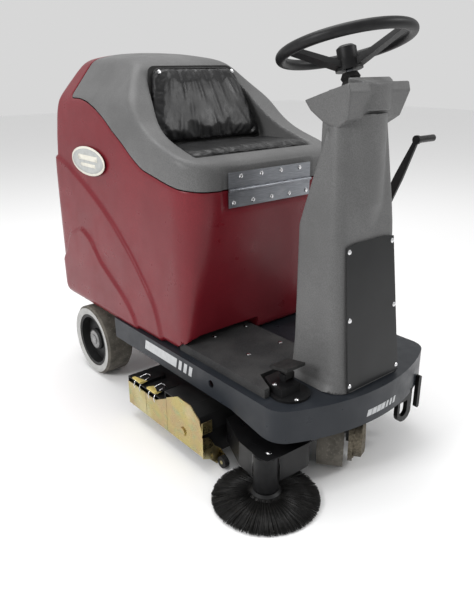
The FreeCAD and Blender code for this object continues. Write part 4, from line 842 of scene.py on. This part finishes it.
def ring_mesh(profile, count):
    """A closed profile of (radius, height) turned about Z."""
    turns = np.linspace(0, 2 * math.pi, count, endpoint=False)
    points = [(r * math.cos(a), r * math.sin(a), z) for a in turns for r, z in profile]
    sides = len(profile)
    faces = [(i * sides + k, (i + 1) % count * sides + k, (i + 1) % count * sides + (k + 1) % sides,
              i * sides + (k + 1) % sides) for i in range(count) for k in range(sides)]
    return np.array(points), faces


def main_broom():
    """The cylindrical broom: double rows of short tufts wound in a chevron on its tube."""
    rng = np.random.default_rng(5)
    roots, tips = [], []
    for row in range(10):
        for x in np.arange(-350, 257, 9.0):
            turn = 2 * math.pi * row / 10 + abs(x + 47) / 307 * 0.9
            for _ in range(9):
                a, b = turn + rng.normal(0, 0.03), turn + rng.normal(0, 0.05)
                shift, reach = rng.normal(0, 1.2), 88.5 - abs(rng.normal(0, 1.0))
                roots.append((x, BROOM[0] + 44 * math.cos(a), BROOM[1] + 44 * math.sin(a)))
                tips.append((min(258, max(-352, x + shift)), BROOM[0] + reach * math.cos(b),
                             BROOM[1] + reach * math.sin(b)))
    broom = strands("main_broom_strands", roots, tips, (0, 0, 0), 1.3, "main_broom")
    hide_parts("main_broom_bristles")


side_brush()
main_broom()
# ---------------------------------------------------------------- badges, stripes, latch wires

def plate_on(name, outline, centre, plane, lift, material, rings=5):
    """A thin plate that follows the tank's flank: rings of an outline around its centre."""
    outline = np.array(outline, float)
    flat = [np.zeros(2)] + [outline[i] * (k + 1) / rings for k in range(rings) for i in range(len(outline))]
    points = np.array([(plane, centre[0] + u, centre[1] + v) for u, v in flat])
    points = onto(tank_field, points, 4)
    points[:, 0] += math.copysign(lift, plane)
    count = len(outline)
    faces = [(0, 1 + i, 1 + (i + 1) % count) for i in range(count)]
    faces += [(1 + k * count + i, 1 + (k + 1) * count + i, 1 + (k + 1) * count + (i + 1) % count,
               1 + k * count + (i + 1) % count) for k in range(rings - 1) for i in range(count)]
    if plane > 0:
        faces = [face[::-1] for face in faces]
    return walled(skin(name, points, faces, material, "chassis", 60), 1.6)


def oval(half_long, half_high, count=48):
    return [(half_long * math.cos(a), half_high * math.sin(a))
            for a in np.linspace(0, 2 * math.pi, count, endpoint=False)]


def badges():
    """An oval plate on each flank, with two plain bars and a pale rim in place of any lettering."""
    for word, plane in (("right", -322), ("left", 322)):
        centre = (443, 838)
        for layer, half_long, half_high, lift, key in (("rim", 122, 50, 0.4, "cream"),
                                                       ("face", 112, 42, 0.9, "pale_grey")):
            plate_on(f"{word}_badge_{layer}", oval(half_long, half_high), centre, plane, lift, MATERIALS[key])
        for row, (low, high, reach) in enumerate(((2, 20, 72), (-20, -8, 56))):
            middle, half = (low + high) / 2, (high - low) / 2
            bar = [(-reach, -half), (reach - 8, -half), (reach, 0), (reach - 8, half), (-reach, half)]
            plate_on(f"{word}_badge_bar_{row}", bar, (centre[0], centre[1] + middle), plane, 1.4,
                     MATERIALS["cream"], 2)


badges()


def latch_wires():
    """The sprung wire loops that hook the tray faces to their latches."""
    for word, middle in (("middle", -26), ("rear", 64)):
        path = [(-399, middle - 17, 128), (-402, middle - 17, 140), (-397, middle - 16, 152),
                (-372, middle - 15, 163), (-352, middle - 13, 166), (-349, middle, 167),
                (-352, middle + 13, 166), (-372, middle + 15, 163), (-397, middle + 16, 152),
                (-402, middle + 17, 140), (-399, middle + 17, 128)]
        tube(f"{word}_latch_wire", path, 1.6, MATERIALS["bright"], f"{word}_tray_latch", False)


latch_wires()


def arm_bolt():
    """The dome bolt through the top of the side brush arm."""
    points, faces = ring_mesh([(0.01, 0), (9, 0), (8.6, 2.2), (6.5, 4.4), (3.2, 5.6), (0.01, 6)], 24)
    skin("arm_bolt", points + np.array([-328, -512, 149.8]), faces, MATERIALS["bright"], "side_brush_arm", 40)


arm_bolt()


def repaint(node, key, rule):
    """Gives part of a CAD node another finish: the faces that the rule picks by centre and normal."""
    obj = NODES[node]
    obj.data.materials.append(MATERIALS[key])
    turn = obj.matrix_world
    for face in obj.data.polygons:
        centre = (turn @ face.center - SHIFT) * 1000.0
        normal = turn.to_3x3() @ face.normal
        if rule(centre, normal):
            face.material_index = len(obj.data.materials) - 1


def stripes():
    """Plain slanted bars on the frame's band, in place of any lettering."""
    for word, face, front in (("right", -328, 1), ("left", 328, -1)):
        for i, (start, end, low, high) in enumerate(((118, -70, 240, 274), (-82, -98, 240, 274),
                                                     (-110, -126, 240, 274), (-138, -154, 240, 274))):
            ring = [(face, start, low), (face, end, low), (face, end - 8, high), (face, start - 8, high)]
            slab(f"{word}_band_bar_{i}", ring[::front], 0.5, MATERIALS["stripe"], "chassis")
    bars = ((-56, -38), (-36, -18), (-16, 2), (4, 20), (26, 36), (44, 54), (62, 72))
    for i, (start, end) in enumerate(bars):
        ring = [(x, 636 - math.sqrt(636 ** 2 - x * x) - 628, z)
                for x, z in ((start, 212), (end, 212), (end + 5, 232), (start + 5, 232))]
        slab(f"nose_bar_{i}", ring, 0.5, MATERIALS["stripe"], "chassis")


stripes()
# ---------------------------------------------------------------- finishes and edges of the CAD nodes

SLOT_OF = {entry["node"]: entry["material_slot"] for entry in frame["record"]["subparts"]}
SLOT_MATERIAL = {"latch_black": "black_paint"}
NODE_MATERIAL = {"access_panel": "panel_black", "body_screws": "bright", "cover_screws": "bright",
                 "lift_lever": "black_paint", "side_brush_motor": "black_plastic"}
SOFT_EDGE = {"main_frame": 2.5, "step_plate": 1.6, "access_panel": 0.9, "deck_housing": 1.0,
             "broom_side_plate": 0.8, "middle_tray": 0.8, "rear_tray": 0.8, "pedal_base": 2.5,
             "accelerator_pedal": 1.2, "lift_lever": 1.0, "front_loops": 2.0, "side_brush_arm": 1.0,
             "drive_gearcase": 1.5, "drive_yoke": 1.0, "steering_wheel_cap": 1.2, "control_fascia": 0.6,
             "side_brush_motor": 2.0, "middle_tray_latch": 1.2, "rear_tray_latch": 1.2,
             "hinge_upper_leaf": 0.4, "hinge_lower_leaf": 0.4, "broom_motor": 1.0, "batteries": 3.0}


def finish_nodes():
    """Every node gets its finish and, where it shows, a rounded edge."""
    for name, obj in NODES.items():
        wanted = NODE_MATERIAL.get(name) or SLOT_MATERIAL.get(SLOT_OF[name], SLOT_OF[name])
        obj.data.materials.clear()
        obj.data.materials.append(MATERIALS[wanted])
        if name in SOFT_EDGE:
            edge = obj.modifiers.new("edge", "BEVEL")
            edge.width, edge.segments, edge.limit_method = SOFT_EDGE[name] / 1000.0, 2, "ANGLE"
            edge.angle_limit, edge.use_clamp_overlap, edge.harden_normals = math.radians(35), True, False


finish_nodes()


def paint_parts():
    """Second finishes on single nodes: side walls, dished rims, latch tips."""
    for word in ("right", "left"):
        repaint(f"{word}_wheel_tyre", "sidewall", lambda c, n: abs(n.x) > 0.75)
        repaint(f"{word}_wheel_rim", "wheel_black",
                lambda c, n: math.hypot(c.y - 505, c.z - 138) > 34)
    for word in ("middle", "rear"):
        repaint(f"{word}_tray_latch", "yellow_tip", lambda c, n: c.x < -385)


paint_parts()
